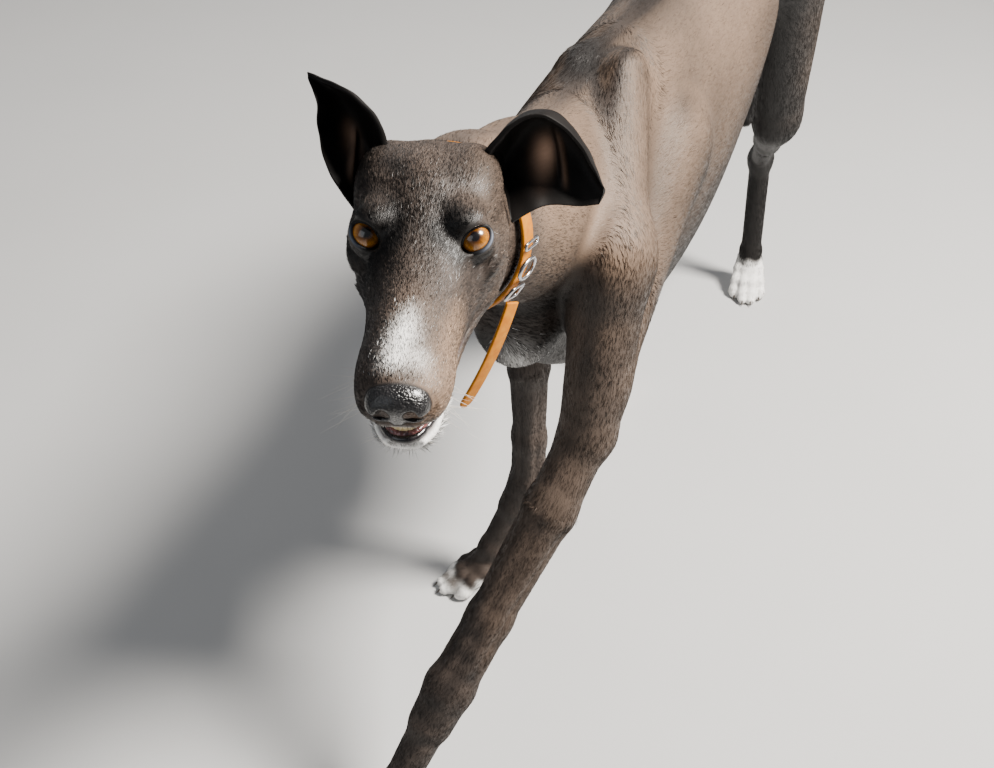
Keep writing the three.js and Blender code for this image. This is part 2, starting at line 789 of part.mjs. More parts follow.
// The pair either side of -20 makes the step at the back of the mouth.
const FACE_PLACES = [
  -28, -20.2, -18.8, -10, -2, 6, 14, 24, 35, 48, 62, 76, 90, 102, 112, 120, 127, 132, 136,
];
const headRings = [
  { at: add(HEAD_PLANE.at, times(HEAD_PLANE.normal, GAP / 2)), normal: HEAD_PLANE.normal },
  ...[
    [-72, -38, 0.75],
    [-60, -32, 0.45],
    [-48, -28, 0.2],
    [-36, -27, 0],
  ].map(([a, c, lean]) => ({
    at: onHead([a, 0, c]),
    normal: unit(mix(AHEAD, HEAD_PLANE.normal, lean)),
  })),
  ...FACE_PLACES.map((a) => ({
    at: onHead([a, 0, a < 0 ? -26 : -27 - a * 0.05]),
    normal: AHEAD,
  })),
];

// The upper jaw's rings start at the mouth's back wall, so the lower jaw has a step to sit in.
function headField(p) {
  const [a] = inHead(p);
  return a > JAW_BACK + 1 ? upperHead(p) : skull(p);
}

const NOSE = { centre: [129, 0, -29], radii: [15, 18.5, 13] };
const noseField = join([
  part(egg(inHead, NOSE.centre, NOSE.radii)),
  part(egg(inHead, [126, 0, -38], [12, 6, 9]), 6),
  ...[1, -1].flatMap((s) => [
    part(egg(inHead, [132, s * 11, -33], [9, 7, 8]), 5),
    hollow(egg(inHead, [142.5, s * 8, -31], [8, 4.2, 4.6]), 2),
    hollow(egg(inHead, [136, s * 16.5, -34], [8, 4, 2.2]), 2),
  ]),
]);

function nose(grow) {
  const places = [116, 121, 126, 130, 134, 137, 139.5, 141.5, 143];
  const rings = places.map((a) => ({ at: onHead([a, 0, -31]), normal: AHEAD }));
  return sweep(noseField, rings, 22, grow);
}

function head() {
  let made = sweep(headField, headRings, HEAD_SIDES);
  const lids = eyes.map((eye) => eyeball(eye, EYE_RADIUS + 2.4));
  made = fuse([made, ...lids]);
  for (const eye of eyes) {
    made = made.subtract(eyeball(eye, EYE_RADIUS + GAP)).subtract(lidOpening(eye));
  }
  return largest(made.subtract(nose(GAP)));
}
const headSolid = head();
place("head", headSolid, COATED);
place("nose", largest(nose(0)), LEATHERY);
for (const eye of eyes) {
  place(eye.side > 0 ? "eye_left" : "eye_right", eyeball(eye, EYE_RADIUS), IRIS);
}

// Lower jaw with the floor of the mouth, then the gum and its teeth on top of it.
const TEETH_BED = { front: 114.5, half: 15, high: -62.3 };

/** Horseshoe path of the lower tooth row; t runs from the right canine to the left one. */
function toothRow(t) {
  const turn = Math.PI * (t - 0.5);
  const { front, half } = TEETH_BED;
  return [front - 22 + 22 * Math.cos(turn * 0.92) ** 0.8, half * Math.sin(turn * 0.92), 0];
}

function lowerJaw() {
  const places = [-18.4, -8, 6, 20, 36, 54, 72, 88, 99, 107, 113, 118.4];
  const rings = places.map((a) => ({
    at: onHead([a, 0, (LOWER_LIP(a) + CHIN(a)) / 2]),
    normal: AHEAD,
  }));
  const whole = sweep(lowerHead, rings, 20);
  return largest(whole.subtract(gum(GAP)));
}

/** Gum strip behind the lower lip. */
function gum(grow) {
  const rows = [];
  for (let i = 0; i <= 14; i += 1) {
    const [a, b] = toothRow(i / 14);
    const out = unit([a - 92, b * 1.4, 0]);
    const corners = [
      [4.2, -10],
      [4.2, -2],
      [1.8, 0],
      [-1.8, 0],
      [-4.2, -2.5],
      [-4.2, -10],
    ];
    rows.push(
      corners.map(([r, c]) => {
        const far = r + Math.sign(r) * grow - 2.2;
        const tall = TEETH_BED.high + c + Math.sign(c + 5) * grow;
        return onHead([a + out[0] * far, b + out[1] * far, tall]);
      }),
    );
  }
  if (grow > 0) {
    const stretch = (row, other) => row.map((p, k) => add(p, times(unit(sub(p, other[k])), grow)));
    rows[0] = stretch(rows[0], rows[1]);
    rows[14] = stretch(rows[14], rows[13]);
  }
  return skinRings(rows);
}

/** One blade-shaped tooth on the row. */
function tooth(t, width, height) {
  const [a, b] = toothRow(t);
  const out = unit([a - 92, b * 1.4, 0]);
  const along = [-out[1], out[0], 0];
  const foot = [a - out[0] * 2.2, b - out[1] * 2.2, 0];
  const rows = [
    [-4, 1, 2],
    [0.7, 1, 2],
    [height * 0.6, 0.95, 1.5],
    [height, 0.5, 0.6],
  ].map(([rise, wide, deep]) =>
    Array.from({ length: 6 }, (_, k) => {
      const turn = (2 * Math.PI * k) / 6;
      const w = Math.cos(turn) * width * 0.5 * wide;
      const d = Math.sin(turn) * deep;
      const flat = [0, 1].map((m) => foot[m] + along[m] * w + out[m] * d);
      return onHead([...flat, TEETH_BED.high + rise]);
    }),
  );
  return skinRings(rows);
}

function lowerTeeth() {
  const incisors = [0.3, 0.38, 0.46, 0.54, 0.62, 0.7].map((t) => tooth(t, 3.8, 5.1));
  const canines = [0.14, 0.86].map((t) => tooth(t, 5.4, 6.2));
  return largest(fuse([gum(0), ...incisors, ...canines]));
}
place("lower_jaw", lowerJaw(), COATED);
place("lower_teeth", lowerTeeth(), ENAMEL);

// Ears: three edge curves in the head frame, root to tip; the cup hangs between them.
const EARS = {
  right: {
    near: [[-60, -28, 26], [-66, -34, 47], [-68, -46, 61], [-72, -61, 69], [-90, -85, 69]],
    deep: [[-90, -42, 6], [-99, -54, 28], [-97, -63, 46], [-88, -71, 61], [-92, -85, 67]],
    far: [[-50, -49, -18], [-62, -70, 11], [-68, -75.5, 37], [-72, -76, 56], [-90, -84.5, 65]],
  },
  left: {
    near: [[-60, 38, 30], [-64, 56, 50], [-66, 76, 55], [-66, 96, 38], [-64, 118, -3]],
    deep: [[-90, 48, 8], [-97, 66, 30], [-94, 86, 34], [-84, 104, 20], [-67, 118.5, -6]],
    far: [[-48, 56, -17], [-53, 70, -10], [-58, 82, -8], [-62, 100, -10], [-63, 118, -6]],
  },
};

function ear({ near, deep, far }) {
  const [wide, long] = [8, 9];
  const curve = (list) => new THREE.CatmullRomCurve3(list.map((p) => new THREE.Vector3(...p)));
  const edges = [near, deep, far].map(curve);
  const point = (u, v) => {
    const [a, b, c] = edges.map((edge) => edge.getPoint(v).toArray());
    const pull = add(times(b, 2), times(add(a, c), -0.5));
    const w = [(1 - u) ** 2, 2 * u * (1 - u), u * u];
    return add(times(a, w[0]), add(times(mix(b, pull, 0.8), w[1]), times(c, w[2])));
  };
  const front = [];
  const back = [];
  for (let j = 0; j <= long; j += 1) {
    const v = (j / long) * 0.985;
    const thick = 1.5 + 2.2 * (1 - v) ** 3;
    for (let i = 0; i <= wide; i += 1) {
      const u = i / wide;
      const du = sub(point(Math.min(u + 0.01, 1), v), point(Math.max(u - 0.01, 0), v));
      const dv = sub(point(u, Math.min(v + 0.01, 1)), point(u, Math.max(v - 0.01, 0)));
      const n = unit(cross(du, dv));
      const half = times(n, thick);
      front.push(onHead(add(point(u, v), half)));
      back.push(onHead(sub(point(u, v), half)));
    }
  }
  const count = front.length;
  const faces = [];
  const quad = (a, b, c, d) => faces.push([a, b, c], [a, c, d]);
  const id = (i, j) => j * (wide + 1) + i;
  for (let j = 0; j < long; j += 1) {
    for (let i = 0; i < wide; i += 1) {
      const [a, b, c, d] = [id(i, j), id(i + 1, j), id(i + 1, j + 1), id(i, j + 1)];
      quad(a, b, c, d);
      quad(d + count, c + count, b + count, a + count);
    }
    quad(id(0, j + 1), id(0, j + 1) + count, id(0, j) + count, id(0, j));
    quad(id(wide, j), id(wide, j) + count, id(wide, j + 1) + count, id(wide, j + 1));
  }
  for (let i = 0; i < wide; i += 1) {
    quad(id(i, 0), id(i, 0) + count, id(i + 1, 0) + count, id(i + 1, 0));
    quad(id(i + 1, long), id(i + 1, long) + count, id(i, long) + count, id(i, long));
  }
  return solid([...front, ...back], faces);
}

// The head and the top of the neck, grown by the gap, cut each ear's root to its seat.
const napeField = join([...neckParts, ...cheeksOnNeck()]);
const napePoints = [[21, -235, 660], [26, -285, 678], HEAD_PLANE.at];
const napeRings = ringsAlong(napePoints, 5, null, HEAD_PLANE.normal, { margin: -1 });
const headGrown = sweep(headField, headRings, HEAD_SIDES, GAP).add(
  sweep(napeField, napeRings, HEAD_SIDES, GAP),
);
for (const [side, shape] of Object.entries(EARS)) {
  place("ear_" + side, largest(ear(shape).subtract(headGrown)), DARK);
}

// Legs.
const upright = [0, 0, -1];
const forwards = { up: [0, -1, 0] };

function forearm(leg, parts) {
  const { elbow, carpus, knuckle, cut } = leg;
  const wrist = unit(sub(knuckle, elbow));
  const start = [elbow[0], elbow[1], cut];
  const points = [start, mix(elbow, carpus, 0.35), mix(elbow, carpus, 0.7), carpus];
  const rings = ringsAlong(points, 13, upright, wrist, forwards).map((ring, i, all) =>
    i === 0 || i === all.length - 1 ? ring : recentre(join(parts), ring),
  );
  rings[0] = recentre(join(parts), rings[0]);
  return sweep(join(parts), rings, 14);
}

function pastern(leg, parts, top) {
  const { knuckle } = leg;
  const joint = leg.carpus ?? leg.hock;
  const down = unit(sub(knuckle, joint));
  const points = [joint, mix(joint, knuckle, 0.5), knuckle];
  const rings = ringsAlong(points, 7, top, down, forwards).map((ring) =>
    recentre(join(parts), ring),
  );
  return sweep(join(parts), rings, 14);
}

/** Thigh and second thigh, cut level at the top and at the knee. */
function levelRings(field, from, to, count, path) {
  return Array.from({ length: count }, (_, i) => {
    const z = from + ((to - from) * i) / (count - 1);
    return recentre(field, { at: path(z), normal: upright, ...forwards });
  });
}

function pathAt(points) {
  const rising = [...points].sort((a, b) => a[2] - b[2]);
  const x = profile(rising.map((p) => [p[2], p[0]]));
  const y = profile(rising.map((p) => [p[2], p[1]]));
  return (z) => [x(z), y(z), z];
}

function thigh(leg, parts) {
  const path = pathAt([leg.hip, leg.stifle, leg.hock]);
  const rings = levelRings(join(parts), THIGH_CUT - GAP / 2, KNEE_CUT + GAP / 2, 6, (z) =>
    add(path(z), [0, 14, 0]),
  );
  return sweep(join(parts), rings, 18);
}

function shank(leg, parts) {
  const field = join(parts);
  const path = pathAt([leg.hip, leg.stifle, leg.hock]);
  const top = KNEE_CUT - GAP / 2;
  const low = leg.hock[2] + 34;
  const rings = levelRings(field, top, low, 9, (z) => add(path(z), [0, 6, 0]));
  const down = unit(sub(leg.knuckle, leg.hock));
  const end = { at: sub(leg.hock, times(down, GAP / 2)), normal: down, ...forwards };
  const lean = unit(mix(down, upright, 0.4));
  const above = { at: sub(leg.hock, times(down, 17)), normal: lean, ...forwards };
  rings.push(recentre(field, above), recentre(field, end));
  return sweep(field, rings, 16);
}

/** Long-toed paw: four toes with claws, a heel pad and flats on the floor. */
function paw(leg) {
  const { knuckle, toe } = leg;
  const joint = leg.carpus ?? leg.hock;
  const flat = unit([toe[0] - knuckle[0], toe[1] - knuckle[1], 0]);
  const across = cross([0, 0, 1], flat);
  const length = Math.hypot(toe[0] - knuckle[0], toe[1] - knuckle[1]);
  const from = [knuckle[0], knuckle[1], 0];
  const spot = (f, s, z) => add(from, add(times(flat, f), add(times(across, s), [0, 0, z])));
  const down = unit(sub(knuckle, joint));
  const solids = [];
  for (const k of [-1.5, -0.5, 0.5, 1.5]) {
    const long = length - (Math.abs(k) > 1 ? 15 : 0);
    const high = knuckle[2];
    solids.push(
      bar(
        [
          spot(-4, k * 6, high - 12),
          spot(long * 0.26, k * 9, high * 0.6),
          spot(long * 0.52, k * 11, 23),
          spot(long * 0.76, k * 12.5, 8.5),
          spot(long - 8, k * 12.5, 6),
        ],
        [11, 10, 9.5, 9.5, 7.6],
        6,
      ),
      bar(
        [spot(long - 14, k * 12.5, 11), spot(long - 5, k * 12.5, 8.5), spot(long, k * 12.5, 3.2)],
        [2.8, 2.4, 0.9],
        4,
      ),
    );
  }
  const pad = new THREE.SphereGeometry(1, 8, 6);
  pad.scale(17, 17, 13);
  pad.translate(...spot(length * 0.36, 0, 11));
  solids.push(fromGeometry(pad));
  solids.push(
    bar([add(knuckle, times(down, -14)), knuckle, spot(length * 0.34, 0, 13)], [18, 17.5, 12], 9),
  );
  const floor = block([-600, -900, -100], [600, 1200, 0]);
  return largest(fuse(solids).subtract(beyond(knuckle, times(down, -1), 200)).subtract(floor));
}

for (const [side, parts] of [["left", foreLeft], ["right", foreRight]]) {
  const leg = FORE[side];
  place("forearm_" + side, forearm(leg, parts), COATED);
  place("fore_pastern_" + side, pastern(leg, parts, unit(sub(leg.knuckle, leg.elbow))), COATED);
  place("fore_paw_" + side, paw(leg), WHITE);
}
for (const [side, parts] of [["left", hindLeft], ["right", hindRight]]) {
  const leg = HIND[side];
  place("thigh_" + side, thigh(leg, parts), COATED);
  place("second_thigh_" + side, shank(leg, parts), COATED);
  place("hind_pastern_" + side, pastern(leg, parts, null), COATED);
  place("hind_paw_" + side, paw(leg), WHITE);
}

// Tail in two lengths.
function tailPiece(from, to, count, first, last) {
  const curve = new THREE.CatmullRomCurve3(TAIL.map((p) => new THREE.Vector3(...p)));
  const radius = profile(TAIL_RADII.map((r, i) => [i / (TAIL.length - 1), r]));
  const rows = Array.from({ length: count }, (_, i) => {
    const t = from + ((to - from) * i) / (count - 1);
    const along = unit(curve.getTangent(t).toArray());
    const normal = i === 0 && first ? first : along;
    const [e1, e2] = ringAxes({ normal, up: [1, 0, 0] });
    const ends = i === 0 ? GAP / 2 : i === count - 1 && !last ? -GAP / 2 : 0;
    const at = add(curve.getPoint(t).toArray(), times(normal, ends));
    return Array.from({ length: 14 }, (_, k) => {
      const turn = (2 * Math.PI * k) / 14;
      const ray = add(times(e1, Math.cos(turn)), times(e2, Math.sin(turn)));
      return add(at, times(ray, radius(t) + COAT));
    });
  });
  return skinRings(rows);
}
const tailWhole = tailPiece(0.02, 0.5, 10, null, false).subtract(
  beyond(TAIL_PLANE.at, times(TAIL_PLANE.normal, -1), 200),
);
place("tail_upper", largest(tailWhole), COATED);
place("tail_tip", tailPiece(0.5, 1, 10, null, true), COATED);

// Collar: a strap round the neck just behind the head, with its metalwork on the left below.
const COLLAR = { at: [27, -291, 681], normal: unit([0.1, -0.94, 0.2]), width: 15, thick: 3 };
const CLEAR = 2.6;
const collarField = napeField;
const collarAxes = ringAxes({ normal: COLLAR.normal });

/** Point on the collar: turn from the top towards the dog's left, along its width, and out from the neck. */
function onCollar(degrees, along, out) {
  const turn = THREE.MathUtils.degToRad(degrees);
  const ray = add(
    times(collarAxes[0], Math.cos(turn)),
    times(collarAxes[1], Math.sin(turn) * (collarAxes[1][0] > 0 ? 1 : -1)),
  );
  // The strap rides forward at its top, behind the skull.
  const fromTop = ((((degrees + 180) % 360) + 360) % 360) - 180;
  const forward = 12 * Math.exp(-(((fromTop - 5) / 55) ** 2));
  const base = add(COLLAR.at, times(COLLAR.normal, along + forward));
  return add(base, times(ray, reach(collarField, base, ray) + out));
}

function strap() {
  const [w, t] = [COLLAR.width / 2, COLLAR.thick];
  const rows = Array.from({ length: 44 }, (_, i) => {
    const turn = (i * 360) / 44;
    return [
      onCollar(turn, -w, CLEAR),
      onCollar(turn, w, CLEAR),
      onCollar(turn, w, CLEAR + t),
      onCollar(turn, -w, CLEAR + t),
    ];
  });
  return skinRings(rows, true);
}
place("collar_strap", strap(), STRAP);

/** Frame at a place on the collar: out from the neck, round it, and along the neck. */
function collarFrame(degrees, out) {
  const at = onCollar(degrees, 0, out);
  const round = unit(sub(onCollar(degrees + 4, 0, out), onCollar(degrees - 4, 0, out)));
  const slant = sub(onCollar(degrees, 7, out), onCollar(degrees, -7, out));
  const along = unit(sub(slant, times(round, dot(slant, round))));
  const normal = cross(round, along);
  const faces = Math.sign(dot(normal, sub(at, COLLAR.at)));
  return { at, outward: times(normal, faces), round: times(round, faces), along };
}

function setInto(geometry, { at, outward, round, along }) {
  const basis = new THREE.Matrix4().makeBasis(
    new THREE.Vector3(...round),
    new THREE.Vector3(...along),
    new THREE.Vector3(...outward),
  );
  basis.setPosition(...at);
  geometry.applyMatrix4(basis);
  const made = fromGeometry(geometry);
  return made.volume() < 0 ? fromGeometry(flip(geometry)) : made;
}

/** Rectangular wire frame, wide across the strap. */
function wireFrame(long, wide, wire) {
  const outline = new THREE.Shape();
  outline.moveTo(-long / 2, -wide / 2);
  outline.lineTo(long / 2, -wide / 2);
  outline.lineTo(long / 2, wide / 2);
  outline.lineTo(-long / 2, wide / 2);
  const hole = new THREE.Path();
  hole.moveTo(-long / 2 + wire, -wide / 2 + wire);
  hole.lineTo(-long / 2 + wire, wide / 2 - wire);
  hole.lineTo(long / 2 - wire, wide / 2 - wire);
  hole.lineTo(long / 2 - wire, -wide / 2 + wire);
  outline.holes.push(hole);
  return new THREE.ExtrudeGeometry(outline, {
    depth: wire,
    bevelEnabled: true,
    bevelSize: 0.4,
    bevelThickness: 0.4,
    bevelSegments: 1,
  });
}

const topOfStrap = CLEAR + COLLAR.thick + GAP;
place("collar_buckle", setInto(wireFrame(15, 21, 2.4), collarFrame(134, topOfStrap + 1.2)), STEEL);
place("collar_keeper", setInto(wireFrame(7, 20, 2), collarFrame(97, topOfStrap + 0.8)), STEEL);

function dRing() {
  const frame = collarFrame(115, topOfStrap + 2.2);
  const ring = new THREE.TorusGeometry(11, 1.5, 6, 22);
  ring.scale(0.8, 1, 1);
  return setInto(ring, frame);
}
place("collar_ring", dRing(), STEEL);

/** Free end of the strap, hanging from the buckle. */
function strapEnd() {
  const start = collarFrame(139, topOfStrap + 6.4);
  const tip = [47, -322, 532];
  const middle = add(mix(start.at, tip, 0.45), [7, -6, -2]);
  const curve = new THREE.QuadraticBezierCurve3(
    new THREE.Vector3(...start.at),
    new THREE.Vector3(...middle),
    new THREE.Vector3(...tip),
  );
  const rows = Array.from({ length: 12 }, (_, i) => {
    const t = i / 11;
    const along = unit(curve.getTangent(t).toArray());
    const out = unit(sub([1, -0.35, 0], times(along, dot([1, -0.35, 0], along))));
    const across = cross(along, out);
    const w = 6.4 * Math.sqrt(Math.max(1 - Math.max((t - 0.9) / 0.101, 0) ** 2, 0.02));
    const at = curve.getPoint(t).toArray();
    return [[-w, -1.3], [w, -1.3], [w, 1.3], [-w, 1.3]].map(([s, d]) =>
      add(at, add(times(across, s), times(out, d))),
    );
  });
  return skinRings(rows);
}
place("collar_strap_end", strapEnd(), STRAP);

// The part's origin: middle of the box in plan, on the floor.
const box = new THREE.Box3().setFromObject(dog);
const centre = box.getCenter(new THREE.Vector3());
dog.position.set(-centre.x, -centre.y, -box.min.z);

export default dog;
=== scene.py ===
"""A still, life-size model of a greyhound in stride with an orange collar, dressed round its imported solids.

Lengths in this file are millimetres in the dog's own frame: x to its left, y towards its tail, z up,
with the floor at z = 0. Meshes are written in metres in the row's frame.
"""

import logging
import math
from dataclasses import dataclass, field
from enum import Enum
from typing import Callable, ClassVar, Sequence

import bpy
import numpy as np
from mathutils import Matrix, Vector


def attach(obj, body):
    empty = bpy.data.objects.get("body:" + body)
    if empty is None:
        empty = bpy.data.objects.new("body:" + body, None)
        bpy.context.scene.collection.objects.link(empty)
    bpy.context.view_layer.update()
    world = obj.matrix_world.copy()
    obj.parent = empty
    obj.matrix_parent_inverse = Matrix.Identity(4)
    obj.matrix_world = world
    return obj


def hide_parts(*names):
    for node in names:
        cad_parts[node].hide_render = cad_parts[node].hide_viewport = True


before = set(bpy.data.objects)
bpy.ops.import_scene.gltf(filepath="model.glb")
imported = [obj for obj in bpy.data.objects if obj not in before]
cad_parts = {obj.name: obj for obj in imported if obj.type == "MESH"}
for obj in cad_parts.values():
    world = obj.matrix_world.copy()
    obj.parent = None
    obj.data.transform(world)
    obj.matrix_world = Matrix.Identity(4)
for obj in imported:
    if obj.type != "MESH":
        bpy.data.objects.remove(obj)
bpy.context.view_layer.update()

log = logging.getLogger("greyhound")
Array = np.ndarray
Point = Sequence[float]
Object = bpy.types.Object
Material = bpy.types.Material
Tree = bpy.types.NodeTree
Socket = bpy.types.NodeSocket

# The dog's frame lies this far from the row's, whose origin is the middle of the part's box.
PART_SHIFT = np.array([-5.268, -135.310, 0.0])
SEED = 7

EYE_MIDDLE = np.array([60.0, -400.0, 735.0])
HEAD_YAW = math.radians(22)
HEAD_PITCH = math.radians(-1)
EYE_HALF_SPACING = 35.0
EYE_RADIUS = 11.5

AHEAD = np.array(
    [
        math.sin(HEAD_YAW) * math.cos(HEAD_PITCH),
        -math.cos(HEAD_YAW) * math.cos(HEAD_PITCH),
        math.sin(HEAD_PITCH),
    ]
)
LEFT = np.array([math.cos(HEAD_YAW), math.sin(HEAD_YAW), 0.0])
ABOVE = -np.cross(LEFT, AHEAD)
HEAD_AXES = np.stack([AHEAD, LEFT, ABOVE])


class Side(Enum):
    """Side of the dog, with the sign of x there."""

    LEFT = 1
    RIGHT = -1

    @property
    def word(self) -> str:
        """The side's name as the nodes carry it."""
        return self.name.lower()


# Small vector helpers, all on arrays whose last axis is x, y, z.


def unit(vectors: Array) -> Array:
    """Vectors divided by their lengths."""
    vectors = np.asarray(vectors, float)
    return vectors / np.maximum(np.linalg.norm(vectors, axis=-1, keepdims=True), 1e-12)


def mix(first: Point, second: Point, share: float) -> Array:
    """Point a share of the way from the first to the second."""
    return np.asarray(first, float) * (1 - share) + np.asarray(second, float) * share


def on_head(places: Point) -> Array:
    """Head places (ahead, left, above the middle of the eyes) in the dog's frame."""
    return EYE_MIDDLE + np.asarray(places, float) @ HEAD_AXES


def in_head(points: Array) -> Array:
    """Points of the dog's frame as head places."""
    return (np.asarray(points, float) - EYE_MIDDLE) @ HEAD_AXES.T


def smooth(low: float, high: float, values: Array) -> Array:
    """Soft step from 0 below low to 1 above high."""
    t = np.clip((values - low) / (high - low), 0, 1)
    return t * t * (3 - 2 * t)


def hump(values: Array, width: float) -> Array:
    """Bell curve of a given width, 1 at zero."""
    return np.exp(-((values / width) ** 2))


def squared(values: Array, power: float) -> Array:
    """Values from -1 to 1 raised to a power with their sign kept, which squares off a round section."""
    return np.sign(values) * np.abs(values) ** power


def circle(count: int) -> Array:
    """Angles evenly round a circle."""
    return np.linspace(0, 2 * math.pi, count, endpoint=False)


def swept(path: Array, first: Array, second: Array, turn: Array, thick: Array | float) -> Array:
    """Rings of points round a path, in the plane of two directions at each of its points."""
    ring = np.cos(turn)[None, :, None] * first[:, None] + np.sin(turn)[None, :, None] * second[:, None]
    return path[:, None] + ring * thick


def profile(pairs: Sequence[Point], places: Array) -> Array:
    """Smooth curve through (place, value) pairs: a cubic between each two, level beyond both ends."""
    table = np.asarray(pairs, float)
    x, y = table[:, 0], table[:, 1]
    before = np.maximum(np.arange(len(x)) - 1, 0)
    after = np.minimum(np.arange(len(x)) + 1, len(x) - 1)
    slope = (y[after] - y[before]) / (x[after] - x[before])
    t = np.clip(places, x[0], x[-1])
    i = np.clip(np.searchsorted(x, t, side="right") - 1, 0, len(x) - 2)
    h = x[i + 1] - x[i]
    s = (t - x[i]) / h
    rise = s * s * (3 - 2 * s)
    bend = h * s * (1 - s) * ((1 - s) * slope[i] - s * slope[i + 1])
    return y[i] * (1 - rise) + y[i + 1] * rise + bend


def spline(points: Sequence[Point], share: Array) -> Array:
    """Points on a Catmull-Rom curve through the given ones, at shares of its count from 0 to 1."""
    p = np.asarray(points, float)
    ends = np.vstack([2 * p[0] - p[1], p, 2 * p[-1] - p[-2]])
    place = np.clip(np.asarray(share, float), 0, 1) * (len(p) - 1)
    i = np.minimum(place.astype(int), len(p) - 2)
    t = (place - i)[..., None]
    a, b, c, d = ends[i], ends[i + 1], ends[i + 2], ends[i + 3]
    return 0.5 * (
        2 * b
        + (c - a) * t
        + (2 * a - 5 * b + 4 * c - d) * t**2
        + (3 * b - a - 3 * c + d) * t**3
    )


def blend(first: Array, second: Array, fillet: float) -> Array:
    """Union of two distances with a fillet: the lower one, less a quarter of the squared closeness."""
    h = np.maximum(fillet - np.abs(first - second), 0) / fillet
    return np.minimum(first, second) - h * h * fillet / 4


# Shapes, each giving a rough signed distance, negative inside.


@dataclass(frozen=True)
class Taper:
    """Tapered bar between two points, narrowed along one side direction by a ratio at each end."""

    start: Point
    end: Point
    first: float
    last: float
    side: Point = (1.0, 0.0, 0.0)
    wide: tuple[float, float] = (1.0, 1.0)

    def distance(self, points: Array) -> Array:
        """Length from the axis, with the side part divided by the width, less the radius there."""
        start = np.asarray(self.start, float)
        span = np.asarray(self.end, float) - start
        side = np.asarray(self.side, float)
        q = points - start
        t = np.clip(q @ span / (span @ span), 0, 1)
        off = q - t[:, None] * span
        wide = self.wide[0] + (self.wide[1] - self.wide[0]) * t
        off += ((off @ side) * (1 / wide - 1))[:, None] * side
        return np.sqrt(np.einsum("ij,ij->i", off, off)) - (
            self.first + (self.last - self.first) * t
        )

    def ball(self) -> tuple[Array, float]:
        """Middle and radius of a ball that holds the bar."""
        span = np.subtract(self.end, self.start)
        return mix(self.start, self.end, 0.5), np.linalg.norm(span) / 2 + 1.1 * max(self.first, self.last)


@dataclass(frozen=True)
class Egg:
    """Ellipsoid whose radii lie along a set of axes, the head's or the world's."""

    centre: Point
    radii: Point
    axes: Array = field(default_factory=lambda: np.eye(3))
    origin: Point = (0.0, 0.0, 0.0)

    def distance(self, points: Array) -> Array:
        """Scaled length k0 and its slope k1 give k0 (k0 - 1) / k1."""
        q = (points - np.asarray(self.origin, float)) @ self.axes.T - np.asarray(self.centre, float)
        r = np.asarray(self.radii, float)
        k0 = np.linalg.norm(q / r, axis=1)
        k1 = np.linalg.norm(q / r**2, axis=1)
        return k0 * (k0 - 1) / np.maximum(k1, 1e-6)

    def ball(self) -> tuple[Array, float]:
        """Middle and radius of a ball that holds the ellipsoid."""
        return np.asarray(self.origin) + np.asarray(self.centre) @ self.axes, max(self.radii)


def head_egg(centre: Point, radii: Point) -> Egg:
    """Ellipsoid placed and turned with the head."""
    return Egg(centre, radii, HEAD_AXES, tuple(EYE_MIDDLE))


@dataclass(frozen=True)
class Loft:
    """Body whose oval sections follow rows of (place, top, bottom, half width, widest height)."""

    rows: tuple[Point, ...]
    upper: float
    lower: float
    local: Callable[[Array], Array]

    def distance(self, points: Array) -> Array:
        """Superellipse radius of the section at each point, less one, times the smaller half size."""
        a, b, c = self.local(points).T
        table = np.asarray(self.rows, float)
        first, last = table[0, 0], table[-1, 0]
        top, bottom, half, waist = (profile(table[:, [0, k]], a) for k in range(1, 5))
        is_up = c > waist
        height = np.where(is_up, top - waist, waist - bottom)
        n = np.where(is_up, self.upper, self.lower)
        across = np.abs(b / half) ** n + np.abs((c - waist) / height) ** n
        radial = (across ** (1 / n) - 1) * np.minimum(half, height)
        over = np.maximum(first - a, a - last)
        outside = np.hypot(np.maximum(radial, 0), over)
        return np.where(over > 0, outside, np.maximum(radial, over))

    def ball(self) -> tuple[Array, float]:
        """Middle and radius of a ball that holds everything."""
        return np.zeros(3), 1e6


@dataclass(frozen=True)
class Layer:
    """A shape, the fillet that joins it to those before, and whether it is carved away."""

    shape: Taper | Egg | Loft
    fillet: float = 14.0
    is_carved: bool = False


@dataclass(frozen=True)
class Flesh:
    """Layers joined in their order, each worked out only for the points near it."""

    layers: tuple[Layer, ...]
    margin: float = 60.0

    def distance(self, points: Array) -> Array:
        """Distance to the joined layers; a carved one is joined to the outside instead."""
        value = self.layers[0].shape.distance(points)
        for layer in self.layers[1:]:
            middle, radius = layer.shape.ball()
            q = points - middle
            near = np.flatnonzero(np.einsum("ij,ij->i", q, q) < (radius + self.margin) ** 2)
            if not len(near):
                continue
            other = layer.shape.distance(points[near])
            if layer.is_carved:
                value[near] = -blend(-value[near], other, layer.fillet)
            else:
                value[near] = blend(value[near], other, layer.fillet)
        return value


Field = Callable[[Array], Array]


def slope_of(solid: Field, points: Array, step: float = 0.4) -> Array:
    """Central differences of a field along x, y and z."""
    parts = []
    for axis in np.eye(3) * step:
        parts.append((solid(points + axis) - solid(points - axis)) / (2 * step))
    return np.stack(parts, axis=1)


def settle(solid: Field, points: Array, steps: int = 3, reach: float = 6.0) -> Array:
    """Points moved along the field's slope until the field is zero there."""
    points = np.array(points, float)
    for _ in range(steps):
        slope = slope_of(solid, points)
        move = solid(points)[:, None] * slope
        move /= np.maximum(np.einsum("ij,ij->i", slope, slope), 0.05)[:, None]
        length = np.linalg.norm(move, axis=1, keepdims=True)
        points -= move * np.minimum(1, reach / np.maximum(length, 1e-9))
    return points


